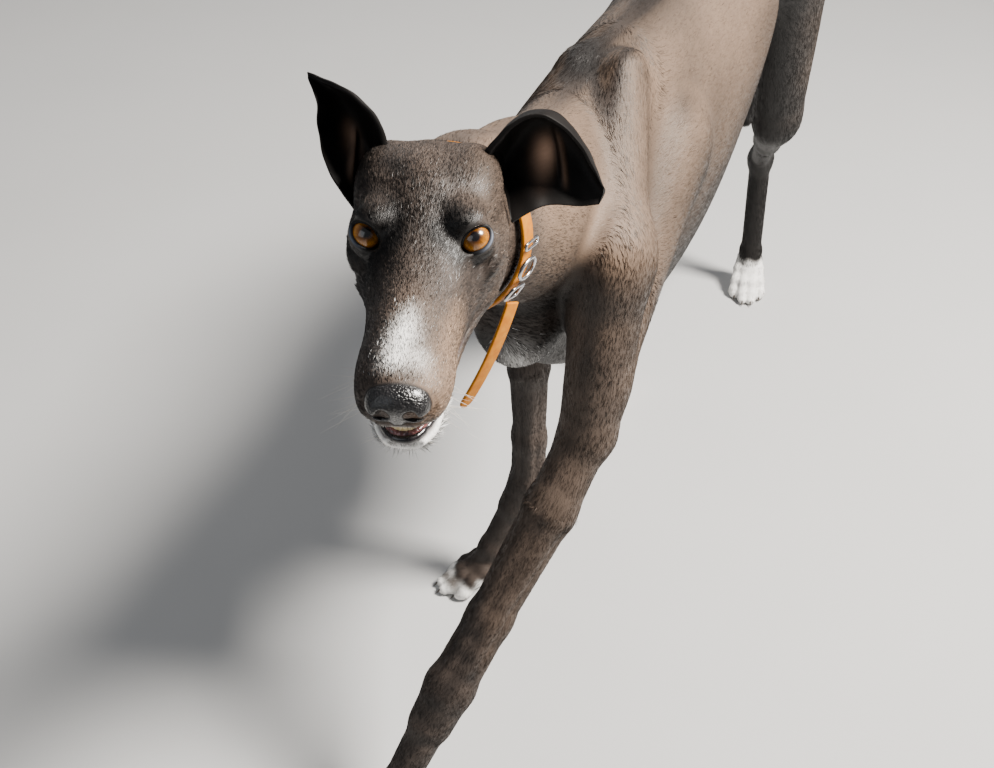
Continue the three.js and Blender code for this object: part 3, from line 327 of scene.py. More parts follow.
def reach_out(solid: Field, centres: Array, rays: Array, far: float = 200.0) -> Array:
    """Length along each ray from its centre to the field's first crossing, by steps and then halving."""
    near = np.zeros(len(rays))
    beyond = np.full(len(rays), far)
    for length in np.arange(4, far, 4.0):
        is_out = (solid(centres + rays * length) > 0) & (beyond == far)
        beyond = np.where(is_out, length, beyond)
        near = np.where(beyond == far, length, near)
        if (beyond < far).all():
            break
    for _ in range(14):
        middle = (near + beyond) / 2
        is_in = solid(centres + rays * middle[:, None]) <= 0
        near = np.where(is_in, middle, near)
        beyond = np.where(is_in, beyond, middle)
    return (near + beyond) / 2


CORNERS = np.array([[i & 1, (i >> 1) & 1, i >> 2] for i in range(8)])


@dataclass(frozen=True)
class Net:
    """Skin drawn on a field inside a box: one point in every lattice cell that the surface crosses."""

    solid: Field
    low: Point
    high: Point
    cell: float
    coarse: int = 6

    def lattice(self) -> tuple[Array, Array]:
        """Field at the lattice points near the surface, and a plain sign elsewhere.

        Returns:
            The lowest lattice point, and the block of values with its border kept outside.
        """
        low = np.asarray(self.low, float)
        size = np.asarray(self.high, float) - low
        m = self.coarse
        blocks = np.ceil(size / (self.cell * m)).astype(int) + 1
        step = self.cell * m
        grid = np.stack(np.meshgrid(*[np.arange(n) for n in blocks], indexing="ij"), -1).reshape(-1, 3)
        middle = self.solid(low + (grid + 0.5) * step)
        values = np.repeat(np.repeat(np.repeat(
            np.where(middle < 0, -1.0, 1.0).reshape(blocks), m, 0), m, 1), m, 2)
        near = grid[np.abs(middle) < step * 1.7]
        inner = np.stack(np.meshgrid(*[np.arange(m)] * 3, indexing="ij"), -1).reshape(-1, 3)
        for part in np.array_split(near, max(len(near) // 60, 1)):
            index = (part[:, None] * m + inner[None]).reshape(-1, 3)
            values[tuple(index.T)] = self.solid(low + index * self.cell)
        for axis in range(3):
            ends = [slice(None)] * 3
            for end in (0, -1):
                ends[axis] = end
                values[tuple(ends)] = 1.0
        return low, values

    def surface(self) -> tuple[Array, Array]:
        """Points and four-sided faces of the skin.

        Returns:
            The points, settled on the field, and the faces, turned outwards.
        """
        low, values = self.lattice()
        is_in = values < 0
        count = np.zeros(np.array(values.shape) - 1, np.int8)
        n = count.shape
        for c in CORNERS:
            count += is_in[c[0]:c[0] + n[0], c[1]:c[1] + n[1], c[2]:c[2] + n[2]]
        cells = np.argwhere((count > 0) & (count < 8))
        number = np.full(n, -1, np.int64)
        number[tuple(cells.T)] = np.arange(len(cells))
        total = np.zeros((len(cells), 3))
        hits = np.zeros(len(cells))
        for a in CORNERS:
            for axis in range(3):
                if a[axis]:
                    continue
                b = a.copy()
                b[axis] = 1
                va = values[tuple((cells + a).T)]
                vb = values[tuple((cells + b).T)]
                is_cut = (va < 0) != (vb < 0)
                t = np.where(is_cut, va / np.where(is_cut, va - vb, 1), 0)
                place = cells + a + t[:, None] * (b - a)
                total += place * is_cut[:, None]
                hits += is_cut
        points = low + total / hits[:, None] * self.cell
        points = settle(self.solid, points, 3, self.cell * 0.6)
        faces = []
        for axis in range(3):
            u, v = [(1, 2), (2, 0), (0, 1)][axis]
            head = [slice(1, -1)] * 3
            tail = [slice(1, -1)] * 3
            head[axis] = slice(0, -1)
            tail[axis] = slice(1, None)
            here, there = is_in[tuple(head)], is_in[tuple(tail)]
            spots = np.argwhere(here != there)
            is_here = here[tuple(spots.T)]
            offset = np.ones(3, int)
            offset[axis] = 0
            spots = spots + offset
            du, dv = np.eye(3, dtype=int)[u], np.eye(3, dtype=int)[v]
            ring = [spots, spots - du, spots - du - dv, spots - dv]
            quad = np.stack([number[tuple(r.T)] for r in ring], 1)
            quad[~is_here] = quad[~is_here][:, ::-1]
            faces.append(quad)
        return points, np.concatenate(faces)


# Writing meshes.


def grid_faces(rows: int, columns: int, is_round: bool = True) -> Array:
    """Four-sided faces between neighbouring rows of a grid, whose columns may close into a ring."""
    i, k = np.meshgrid(np.arange(rows - 1), np.arange(columns if is_round else columns - 1), indexing="ij")
    right = (k + 1) % columns
    return np.stack(
        [i * columns + k, i * columns + right, (i + 1) * columns + right, (i + 1) * columns + k], -1
    ).reshape(-1, 4)


def closed_tube(rows: Array) -> tuple[Array, Array, Array]:
    """Points and faces of a tube through rings of points, with a middle point closing each end.

    Args:
        rows: Ring points, as rows by columns by three.

    Returns:
        The points, the four-sided faces and the three-sided faces.
    """
    n, m = rows.shape[:2]
    points = np.concatenate([rows.reshape(-1, 3), rows[0].mean(0)[None], rows[-1].mean(0)[None]])
    k = np.arange(m)
    right = (k + 1) % m
    first = np.stack([np.full(m, n * m), right, k], 1)
    last = np.stack([np.full(m, n * m + 1), (n - 1) * m + k, (n - 1) * m + right], 1)
    return points, grid_faces(n, m), np.concatenate([first, last])


def piece(name: str, points: Array, *faces: Array, is_smooth: bool = True) -> Object:
    """A mesh object from points in the dog's frame, with faces turned to enclose a positive volume.

    Args:
        name: The object's name.
        points: Corner points, in millimetres.
        *faces: Arrays of three-sided or four-sided faces.
        is_smooth: Whether the shading is smooth.

    Returns:
        The new object, linked to the scene.
    """
    faces = [np.asarray(f, np.int64) for f in faces if len(f)]
    volume = 0.0
    middle = points.mean(0)
    for f in faces:
        p = points[f] - middle
        for k in range(1, f.shape[1] - 1):
            volume += np.einsum("ij,ij->", p[:, 0], np.cross(p[:, k], p[:, k + 1]))
    if volume < 0:
        faces = [f[:, ::-1] for f in faces]
    mesh = bpy.data.meshes.new(name)
    mesh.vertices.add(len(points))
    mesh.vertices.foreach_set("co", ((points + PART_SHIFT) * 0.001).astype(np.float32).ravel())
    sizes = np.concatenate([np.full(len(f), f.shape[1]) for f in faces])
    mesh.loops.add(int(sizes.sum()))
    mesh.loops.foreach_set("vertex_index", np.concatenate([f.ravel() for f in faces]).astype(np.int32))
    mesh.polygons.add(len(sizes))
    mesh.polygons.foreach_set("loop_start", (np.cumsum(sizes) - sizes).astype(np.int32))
    mesh.polygons.foreach_set("use_smooth", np.full(len(sizes), is_smooth))
    mesh.update(calc_edges=True)
    mesh.validate()
    made = bpy.data.objects.new(name, mesh)
    bpy.context.scene.collection.objects.link(made)
    return made


def finish_piece(made: Object, finish: Material, nodes: Sequence[str] = ()) -> None:
    """Gives a piece its material, seats it on the dog and hides the solids it stands for."""
    made.data.materials.append(finish)
    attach(made, "root")
    if nodes:
        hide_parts(*nodes)
    log.info("%s: %d faces", made.name, len(made.data.polygons))


def paint(made: Object, name: str, colours: Array) -> None:
    """Writes one colour for each point as an attribute."""
    rgba = np.ones((len(colours), 4), np.float32)
    rgba[:, :3] = colours
    made.data.attributes.new(name, "FLOAT_COLOR", "POINT").data.foreach_set("color", rgba.ravel())


def loop_points(made: Object) -> Array:
    """Number of the point at each face corner."""
    order = np.zeros(len(made.data.loops), np.int32)
    made.data.loops.foreach_get("vertex_index", order)
    return order


def unwrap(made: Object, name: str, places: Array) -> None:
    """Writes a UV map with one place for each face corner."""
    layer = made.data.uv_layers.new(name=name)
    layer.data.foreach_set("uv", places.astype(np.float32).ravel())


# The dog's build: joints of the four legs, the neck and the tail.


class Leg:
    """What both kinds of leg share: node names, the bone above the pastern and the layout of the paw."""

    KIND: ClassVar[str]
    LOWER: ClassVar[str]
    SOCK: ClassVar[float]
    TOES: ClassVar[tuple[float, ...]] = (-1.5, -0.5, 0.5, 1.5)
    OUTER_TOE_SHORT: ClassVar[float] = 15.0

    @property
    def nodes(self) -> tuple[str, str, str]:
        """Names of the solids below the elbow or stifle, from the top down to the paw."""
        word = self.side.word
        return self.LOWER + word, f"{self.KIND}_pastern_{word}", f"{self.KIND}_paw_{word}"

    @property
    def reach(self) -> float:
        """Level distance from the knuckle to the longest toe's tip."""
        return math.hypot(*(np.subtract(self.toe, self.knuckle))[:2])

    @property
    def across(self) -> Array:
        """Level direction from the paw's inner toes to its outer ones."""
        return np.cross([0, 0, 1], self.pointing)

    @property
    def pointing(self) -> Array:
        """Level direction in which the toes point."""
        return unit(np.subtract(self.toe, self.knuckle) * [1, 1, 0])

    def toe_length(self, place: float) -> float:
        """Reach of a toe, whose place across the paw is one of TOES."""
        return self.reach - (self.OUTER_TOE_SHORT if abs(place) > 1 else 0)

    def on_paw(self, ahead: Array | float, aside: float, up: Array | float) -> Array:
        """Place on the paw, from the floor under the knuckle."""
        root = np.array(self.knuckle, float) * [1, 1, 0]
        return root + self.pointing * ahead + self.across * aside + np.array([0, 0, 1.0]) * up


@dataclass(frozen=True)
class Foreleg(Leg):
    """Joint places of one foreleg."""

    KIND: ClassVar[str] = "fore"
    LOWER: ClassVar[str] = "forearm_"
    SOCK: ClassVar[float] = 20.0

    side: Side
    blade: Point
    shoulder: Point
    elbow: Point
    carpus: Point
    knuckle: Point
    toe: Point

    @property
    def bone(self) -> tuple[Point, Point]:
        """Elbow and wrist, the ends of the forearm."""
        return self.elbow, self.carpus

    def layers(self) -> list[Layer]:
        """Shoulder blade, upper arm, forearm and pastern."""
        s = self.side.value
        blade, elbow, carpus, knuckle = (
            np.array(p, float) for p in (self.blade, self.elbow, self.carpus, self.knuckle)
        )
        belly = mix(elbow, carpus, 0.28) + [4, -3, 0]
        thin = mix(elbow, carpus, 0.72) + [2, 0, 0]
        back = np.array([0, 26, 30] if s > 0 else [0, 30, 12])
        stout = 1.13 if s > 0 else 1.0
        x = (1, 0, 0)
        return [
            Layer(Taper(blade, self.shoulder, 24, 42, x, (0.6, 0.72)), 26),
            Layer(Taper(self.shoulder, elbow, 44, 29, x, (0.72, 0.9)), 24),
            Layer(Taper(blade + [s * 34, 60, -96], elbow + [s * 4, 30, 40], 44, 27, x, (0.62, 0.7)), 26),
            Layer(Taper(elbow + back, belly, 11, 13), 12),
            Layer(Taper(elbow, belly, 25, 23 * stout, x, (0.92, 0.9)), 12),
            Layer(Taper(belly, thin, 23 * stout, 18.5 * stout, x, (0.9, 0.95)), 10),
            Layer(Taper(thin, carpus, 18.5 * stout, 20 * stout), 10),
            Layer(Taper(carpus, mix(carpus, knuckle, 0.35), 20.5 * stout, 18.5 * stout), 10),
            Layer(Taper(carpus, knuckle, 17.5 * stout, 16), 8),
            Layer(Taper(carpus + [0, 17, -2], carpus + [0, 12, -16], 6, 4), 8),
        ]


@dataclass(frozen=True)
class Hindleg(Leg):
    """Joint places of one hind leg."""

    KIND: ClassVar[str] = "hind"
    LOWER: ClassVar[str] = "second_thigh_"
    SOCK: ClassVar[float] = 50.0

    side: Side
    ilium: Point
    hip: Point
    ischium: Point
    stifle: Point
    hock: Point
    knuckle: Point
    toe: Point

    @property
    def bone(self) -> tuple[Point, Point]:
        """Stifle and hock, the ends of the second thigh."""
        return self.stifle, self.hock

    def layers(self) -> list[Layer]:
        """Haunch, thigh, second thigh, hock and rear pastern."""
        s = self.side.value
        hip, stifle, hock, knuckle = (
            np.array(p, float) for p in (self.hip, self.stifle, self.hock, self.knuckle)
        )
        shank = unit(knuckle - hock)
        heel = hock - 30 * shank + [0, 16, 0]
        behind = stifle + [-s * 6, 58, 18]
        calf = mix(stifle, hock, 0.42) + [0, 20, 12]
        middle = mix(stifle, hock, 0.5)
        x = (1, 0, 0)
        return [
            Layer(Taper(self.ilium, hip + [s * 4, 8, 6], 36, 46, x, (0.72, 0.72)), 26),
            Layer(Taper(hip, stifle, 64, 40, x, (0.6, 0.74)), 26),
            Layer(Taper(self.ischium, behind, 32, 32, x, (0.76, 0.66)), 26),
            Layer(Taper(stifle, middle, 36, 22, x, (0.76, 0.8)), 16),
            Layer(Taper(middle, hock, 22, 14.5, x, (0.8, 0.84)), 12),
            Layer(Taper(behind, calf, 28, 15, x, (0.7, 0.7)), 16),
            Layer(Taper(calf, heel, 9, 8), 16),
            Layer(Taper(mix(calf, middle, 0.5), mix(heel, hock, 0.5) + [0, 0, 22], 8, 8), 12),
            Layer(Taper(heel, hock, 11, 13), 10),
            Layer(Egg(hock, (15.5, 20, 20)), 10),
            Layer(Taper(hock, knuckle, 15, 14.5), 10),
        ]


FORELEGS = (
    Foreleg(
        Side.LEFT, blade=(44, 8, 668), shoulder=(90, -116, 560), elbow=(90, -160, 402),
        carpus=(21, -310, 172), knuckle=(-9, -366, 72), toe=(16, -434, 0),
    ),
    Foreleg(
        Side.RIGHT, blade=(-8, 12, 652), shoulder=(-50, -100, 526), elbow=(-54, 14, 382),
        carpus=(-44, 8, 152), knuckle=(-76, -18, 56), toe=(-130, -64, 0),
    ),
)
HINDLEGS = (
    Hindleg(
        Side.LEFT, ilium=(52, 412, 660), hip=(64, 500, 600), ischium=(50, 588, 588), stifle=(56, 542, 392),
        hock=(-4, 728, 222), knuckle=(-1, 730, 62), toe=(18, 668, 0),
    ),
    Hindleg(
        Side.RIGHT, ilium=(-38, 406, 660), hip=(-48, 500, 600), ischium=(-34, 588, 588),
        stifle=(-68, 352, 430), hock=(-76, 472, 206), knuckle=(-80, 408, 58), toe=(-86, 326, 0),
    ),
)
LEGS: tuple[Foreleg | Hindleg, ...] = (*FORELEGS, *HINDLEGS)
NECK_PLACES = (
    ((31, -332, 685), 55, 0.86),
    ((25, -272, 670), 58.5, 0.82),
    ((20, -178, 624), 70, 0.74),
    ((14, -60, 566), 96, 0.66),
)
TAIL_PLACES = (
    ((0, 585, 612), 21),
    ((0, 622, 574), 17),
    ((-4, 660, 500), 13.5),
    ((-14, 694, 410), 11),
    ((-28, 724, 325), 9),
    ((-42, 758, 262), 7),
    ((-54, 804, 234), 3.5),
)
TRUNK_ROWS = (
    (-150, 592, 466, 28, 530),
    (-115, 634, 426, 50, 535),
    (-60, 660, 385, 64, 535),
    (0, 680, 359, 74, 535),
    (60, 688, 350, 82, 537),
    (120, 688, 357, 87, 540),
    (180, 690, 377, 88, 546),
    (240, 697, 416, 88, 560),
    (300, 706, 466, 88, 585),
    (360, 710, 508, 82, 606),
    (420, 706, 531, 64, 616),
    (480, 690, 540, 60, 612),
    (540, 656, 537, 52, 598),
    (592, 624, 562, 32, 593),
)
HEAD_ROWS = (
    (-112, -4, -62, 36, -30),
    (-95, 16, -74, 45, -28),
    (-75, 29, -81, 47, -26),
    (-50, 36, -83, 50, -24),
    (-25, 33, -81, 49, -24),
    (0, 22, -78, 43, -27),
    (20, 11, -75, 36, -29),
    (45, 3, -71, 31, -33),
    (75, -3, -67, 28.5, -35),
    (105, -8, -62, 27, -35),
    (124, -13, -57, 23.5, -34),
    (136, -21, -49, 15, -34),
)
JAW_ROWS = (
    (-20, -50, -81, 45, -57),
    (0, -50, -80, 38, -58),
    (28, -51, -80, 31, -60),
    (60, -55, -82, 25.5, -65),
    (88, -60, -84, 22.5, -70),
    (106, -63, -84, 19.5, -73),
    (118, -67, -79, 13, -73),
)
UPPER_LIP = ((-20, -57), (28, -55.5), (60, -55), (100, -52), (128, -48), (142, -45))
LOWER_LIP = ((-20, -58), (28, -57), (60, -61.5), (90, -66.5), (112, -70), (120, -70.5))


def trunk_frame(points: Array) -> Array:
    """Points as (along the back, across from the spine, height)."""
    none = 0 * points[:, 1]
    return points[:, [1, 0, 2]] - np.stack([none, spine_aside(points[:, 1]), none], 1)


def spine_aside(places: Array) -> Array:
    """How far the spine lies to the left at a place along the back."""
    return 11.0 * smooth(-260, 0, places) - 10.0 * smooth(140, 420, places)


def neck_layers() -> list[Layer]:
    """The three lengths of the neck."""
    side = (0.995, 0.1, 0.0)
    made = []
    for (near, deep, wide), (far, deeper, wider) in zip(NECK_PLACES, NECK_PLACES[1:]):
        made.append(Layer(Taper(near, far, deep, deeper, side, (wide, wider)), 30))
    return made


def tail_layers() -> list[Layer]:
    """The tail, from its root to its tip."""
    pairs = zip(TAIL_PLACES, TAIL_PLACES[1:])
    return [Layer(Taper(a, b, ra, rb), 10) for (a, ra), (b, rb) in pairs]


def cheek_layers() -> list[Layer]:
    """Jaw muscles, temples, brows, lip cushions and the hollows before the eyes."""
    made = []
    for s in (1, -1):
        made += [
            Layer(head_egg((-30, s * 43.5, -20), (36, 8.5, 11)), 10),
            Layer(head_egg((-50, s * 37, -46), (32, 14, 30)), 14),
            Layer(head_egg((-52, s * 31, 11), (35, 17, 20)), 14),
            Layer(head_egg((-4, s * 29, 14.5), (16, 12, 8)), 9),
            Layer(head_egg((98, s * 17, -38), (30, 11, 15)), 10),
            Layer(head_egg((22, s * 45, -14), (18, 9, 12)), 10, True),
        ]
    return made


def paw_layers(leg: Leg) -> list[Layer]:
    """Four arched toes and the heel pad of one paw."""
    spot = leg.on_paw
    high = leg.knuckle[2]
    made = [Layer(Taper(np.array(leg.knuckle, float), spot(leg.reach * 0.34, 0, 18), 16, 13), 8)]
    made.append(Layer(Egg(spot(leg.reach * 0.36, 0, 10.5), (15, 15, 11)), 5))
    for k in leg.TOES:
        long = leg.toe_length(k)
        places = [
            (spot(-4, k * 6, high - 14), 9.5),
            (spot(long * 0.26, k * 9, high * 0.58), 8.8),
            (spot(long * 0.52, k * 11, 22.5), 8.4),
            (spot(long * 0.74, k * 12.5, 9.2), 8.2),
            (spot(long - 9, k * 12.5, 6.6), 6.4),
        ]
        for (a, ra), (b, rb) in zip(places, places[1:]):
            made.append(Layer(Taper(a, b, ra, rb), 4))
    return made


class Anatomy:
    """The dog's whole form as fields that the skins are drawn on."""

    def __init__(self) -> None:
        """Joins the layers of trunk, neck and head; legs and tail come in as far as their seams."""
        head = [Layer(Loft(HEAD_ROWS, 2.1, 2.2, in_head)), *cheek_layers()]
        body = [
            Layer(Loft(TRUNK_ROWS, 1.8, 1.9, trunk_frame)),
            *neck_layers(),
            Layer(Egg((6, -140, 492), (38, 30, 48)), 30),
            Layer(Taper((5, 320, 660), (0, 480, 640), 46, 44, (1, 0, 0), (1.1, 1.1)), 30),
        ]
        for leg in FORELEGS:
            body += leg.layers()[:6]
        for leg in HINDLEGS:
            body += leg.layers()[:8]
        root, end = (np.array(place, float) for place, _ in TAIL_PLACES[2:4])
        body += [*tail_layers()[:2], Layer(Taper(root, mix(root, end, 0.35), 13.5, 12.6), 10)]
        self.body = Flesh(tuple(body + head))
        self.nape = Flesh(tuple([*neck_layers(), *head]))


# Lie of the coat and its unwrap: every point belongs to the nearest of these stretches.


@dataclass(frozen=True)
class Stretch:
    """A length of the body along which the hair lies, with the body's rough radius there."""

    start: Point
    end: Point
    radius: float


def stretches() -> list[Stretch]:
    """Trunk, neck, head, legs and tail, each pointing the way the hair lies."""
    made = [
        Stretch((10, -120, 560), (4, 590, 600), 82),
        Stretch((31, -332, 690), (14, -60, 570), 62),
        Stretch(on_head((10, 0, -26)), on_head((-95, 0, -26)), 45),
        Stretch(on_head((136, 0, -34)), on_head((10, 0, -28)), 28),
    ]
    for leg in FORELEGS:
        made += [
            Stretch(leg.blade, leg.shoulder, 34),
            Stretch(leg.shoulder, leg.elbow, 38),
            Stretch(leg.elbow, leg.carpus, 24),
            Stretch(leg.carpus, leg.knuckle, 17),
            Stretch(leg.knuckle, leg.toe, 17),
        ]
    for leg in HINDLEGS:
        made += [
            Stretch(leg.hip, leg.stifle, 52),
            Stretch(leg.stifle, leg.hock, 24),
            Stretch(leg.hock, leg.knuckle, 17),
            Stretch(leg.knuckle, leg.toe, 17),
        ]
    made += [
        Stretch(TAIL_PLACES[1][0], TAIL_PLACES[3][0], 13),
        Stretch(TAIL_PLACES[3][0], TAIL_PLACES[6][0], 8),
    ]
    return made


class Lie:
    """Direction of the hair and the unwrap of the skin, both from the stretches."""

    MARGIN = 90.0
    SCALE = 1 / 2300
    BORDER = 0.004
    GAP = 0.008

    def __init__(self) -> None:
        """Sets the stretches' frames and packs their unwrapped oblongs on shelves."""
        self.parts = stretches()
        self.start = np.array([p.start for p in self.parts], float)
        span = np.array([p.end for p in self.parts], float) - self.start
        self.length = np.linalg.norm(span, axis=1)
        self.along = unit(span)
        self.radius = np.array([p.radius for p in self.parts], float)
        up = np.where(np.abs(self.along[:, 2:]) > 0.8, [[0.0, 1.0, 0.0]], [[0.0, 0.0, 1.0]])
        self.first = unit(up - np.sum(up * self.along, 1, keepdims=True) * self.along)
        self.second = np.cross(self.along, self.first)
        self.corner = np.zeros((len(self.parts), 2))
        x = y = tall = self.BORDER
        for i in np.argsort(-self.radius):
            wide = (self.length[i] + 2 * self.MARGIN) * self.SCALE
            high = 2 * math.pi * self.radius[i] * self.SCALE
            if x + wide > 0.99:
                x, y, tall = self.BORDER, y + tall + self.GAP, 0.0
            self.corner[i] = x, y
            x += wide + self.GAP
            tall = max(tall, high)

    def apart(self, points: Array) -> Array:
        """Distance of each point from each stretch's axis, less its radius."""
        made = []
        for i in range(len(self.parts)):
            q = points - self.start[i]
            t = np.clip(q @ self.along[i], 0, self.length[i])
            off = q - t[:, None] * self.along[i]
            made.append(np.linalg.norm(off, axis=1) - self.radius[i])
        return np.stack(made, 1)

    def direction(self, points: Array, normals: Array) -> Array:
        """Directions of the near stretches, weighed by closeness, laid flat on the skin."""
        apart = self.apart(points)
        weight = np.exp(-(apart - apart.min(1, keepdims=True)) / 14)
        lie = weight @ self.along / weight.sum(1, keepdims=True)
        lie = lie - np.sum(lie * normals, 1, keepdims=True) * normals
        return unit(lie + 1e-6)

    def nearest(self, points: Array) -> Array:
        """Number of the stretch each point belongs to."""
        return self.apart(points).argmin(1)

    def flat(self, points: Array, owner: Array) -> Array:
        """Millimetres along each point's stretch and round it."""
        q = points - self.start[owner]
        s = np.einsum("ij,ij->i", q, self.along[owner])
        a = np.einsum("ij,ij->i", q, self.first[owner])
        b = np.einsum("ij,ij->i", q, self.second[owner])
        return np.stack([s, np.arctan2(b, a) * self.radius[owner]], 1)

    def atlas(self, points: Array) -> Array:
        """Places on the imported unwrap, from 0 to 1."""
        owner = self.nearest(points)
        flat = self.flat(points, owner)
        flat[:, 0] = np.clip(flat[:, 0] + self.MARGIN, 0, self.length[owner] + 2 * self.MARGIN)
        flat[:, 1] += math.pi * self.radius[owner]
        return self.corner[owner] + flat * self.SCALE


LIE = Lie()


def wander(points: Array, size: float, seed: int = 0) -> Array:
    """Slow random variation between about -1 and 1: a sum of eight waves in random directions."""
    rng = np.random.default_rng(SEED + seed)
    total = np.zeros(len(points))
    for _ in range(8):
        wave = unit(rng.normal(size=3)) * (2 * math.pi / size) * rng.uniform(0.5, 1.6)
        total += np.sin(points @ wave + rng.uniform(0, 6.28))
    return total / 3.2


class Markings:
    """Colours of the coat by place: black, brown and tan, partly bleached hair and partly painted light and
    shade, and white, and of bare skin.
    """

    BLACK = np.array([0.0085, 0.0070, 0.0065])
    BROWN = np.array([0.084, 0.062, 0.050])
    TAN = np.array([0.205, 0.135, 0.090])
    WHITE = np.array([0.88, 0.86, 0.83])
    LEATHER = np.array([0.005, 0.0045, 0.005])
    MOUTH = np.array([0.030, 0.010, 0.010])
    WET = np.array([0.22, 0.25, 0.32])
    EAR = np.array([0.0065, 0.0055, 0.0052])
    INNER_EAR = np.array([0.62, 0.38, 0.26])

    @classmethod
    def white_share(cls, p: Array) -> Array:
        """Share of white hair: blaze, lips, chin, chest and toes."""
        a, b, c = in_head(p).T
        middle = b + 1 + 0.1 * (a - 100)
        blaze = 0.95 * smooth(62, 96, a) * hump(middle, 9 - 3 * smooth(100, 70, a)) * smooth(-24, -14, c)
        snip = 0.5 * hump(b - 8, 9) * hump(a - 112, 9) * smooth(-24, -14, c)
        blaze = np.maximum(blaze * smooth(128, 114, a), snip)
        lips = 0.8 * smooth(70, 112, a) * smooth(-43, -49, c) * smooth(-58, -54, c)
        chin = smooth(50, 84, a) * smooth(-60, -66, c)
        chest = 0.9 * hump(np.linalg.norm((p - [24, -176, 452]) * [1, 0.8, 0.7], axis=1), 17)
        toes = np.zeros(len(p))
        for leg in LEGS:
            near = smooth(135, 115, np.linalg.norm(p - np.asarray(leg.toe, float), axis=1))
            edge = leg.SOCK + 5 * wander(p, 30, 3)
            toes = np.maximum(toes, near * smooth(8, -8, p[:, 2] - edge))
        return np.clip(np.max([blaze, lips, chin, chest, toes], axis=0), 0, 1)

    @classmethod
    def face(cls, h: Array) -> Array:
        """Shares of brown and tan on the head: dark round the eyes, light on the muzzle, with painted shade
        on the right side and in the hollows round the eyes, a painted highlight on the forehead and painted
        light in the tan on the left side.
        """
        a, b, c = h.T
        brown = 0.42 + 0.35 * smooth(10, 70, a) + 0.16 * wander(h, 26, 2)
        # Painted shade: the right side of the head, away from the key lamp, is darker.
        brown = brown - 0.2 * smooth(-2, -22, b) * smooth(-30, 10, a)
        # Painted highlight: the forehead is lighter, standing for the sheen of its hair.
        brown = brown + 0.35 * hump(np.linalg.norm((h - [-45, 2, 34]) * [0.8, 1, 1], axis=1), 24)
        # Darker beside, round and above each eye: dark hair there, and painted shade in the hollows and
        # sockets.
        for eye in (-1, 1):
            hollow = np.linalg.norm((h - [10, eye * 19, -1]) * [0.9, 1, 0.6], axis=1)
            socket = np.linalg.norm(h - [6, eye * 33, 2], axis=1)
            brow = np.linalg.norm((h - [-34, eye * 19, 30]) * [1, 1, 0.7], axis=1)
            brown = brown - 0.75 * hump(hollow, 12) - 0.3 * hump(socket, 17) - 0.30 * hump(brow, 15)
        # Tan on the left of the muzzle and cheek, the side the key lamp lights: tan hair, and painted light
        # as well.
        tan = smooth(4, 16, b) * smooth(30, 60, a) * smooth(-8, -20, c) * 0.75
        tan = tan + 0.2 * smooth(40, 80, a) * smooth(-12, 0, b)
        tan = tan + 0.18 * smooth(20, 36, b) * smooth(10, -30, a)
        return np.clip(np.stack([brown, tan], 1), 0, 1)

    @classmethod
    def tone(cls, p: Array, normals: Array) -> Array:
        """Black below and brown above, which is bleached hair and painted top light; painted lamp light on
        the legs; tan on neck and flank, partly painted light; then white, leather and mouth.
        """
        h = in_head(p)
        a, b, c = h.T
        up = normals[:, 2]
        # Brown share on surfaces that face up, as bleached hair and painted top light from above.
        bleach_and_top_light = smooth(-0.5, 0.6, up + 0.2 * normals[:, 1]) * smooth(300, 460, p[:, 2])
        # Painted lamp light: legs browner where they face the key lamp, darker where they face away.
        painted_lamp_light = smooth(-0.6, 0.6, normals @ np.array([0.58, 0.28, 0.77]))
        legs = smooth(460, 300, p[:, 2]) * (0.2 + 0.45 * painted_lamp_light) * smooth(560, 200, p[:, 1] + 2 * p[:, 0])
        streak = wander(p * [1, 0.5, 1], 70, 1)
        spine = hump(p[:, 0] - 10, 22) * smooth(0.5, 0.9, up) * smooth(-60, 30, p[:, 1])
        blades = hump(np.linalg.norm((p - [40, 10, 660]) * [1, 0.6, 0.8], axis=1), 70)
        back = smooth(0.55, 0.95, up) * smooth(-80, 0, p[:, 1])
        brown = np.clip(bleach_and_top_light * (0.85 + 0.22 * streak) + legs - 0.35 * spine - 0.4 * blades - 0.35 * back, 0, 1)
        # Tan on the flanks follows the painted top light; the tan on the left of the neck, the side the key
        # lamp lights, is tan hair and partly painted light.
        side = smooth(0.0, 0.5, np.abs(normals[:, 0])) * smooth(400, 480, p[:, 2]) * smooth(-0.5, 0.1, up)
        neck = hump(np.linalg.norm((p - [78, -205, 640]) * [0.8, 1, 0.9], axis=1), 62)
        tan = np.clip(0.55 * side * bleach_and_top_light + 0.75 * neck + 0.12 * streak * bleach_and_top_light - 0.4 * back, 0, 1)
        on_face = smooth(-120, -80, a - 0.35 * c)[:, None]
        shares = np.stack([brown, tan], 1) * (1 - on_face) + cls.face(h) * on_face
        tone = cls.BLACK + (cls.BROWN - cls.BLACK) * shares[:, :1]
        tone = tone + (cls.TAN - tone) * (shares[:, 1:] * 0.8)
        white = cls.white_share(p)[:, None]
        tone = tone * (1 - white) + cls.WHITE * white
        top, bottom = profile(UPPER_LIP, a), profile(LOWER_LIP, a)
        inner = smooth(1.2, -0.6, c - top) * smooth(-1.6, 0.2, c - bottom) * smooth(4, 12, a)
        inner = (inner * smooth(0.9, -0.2, np.abs(b) - 30))[:, None]
        tone = tone * (1 - inner) + cls.MOUTH * inner
        leather = (smooth(1.0, 0.0, nose_solid(p)) * smooth(90, 100, a))[:, None]
        return tone * (1 - leather) + cls.LEATHER * leather

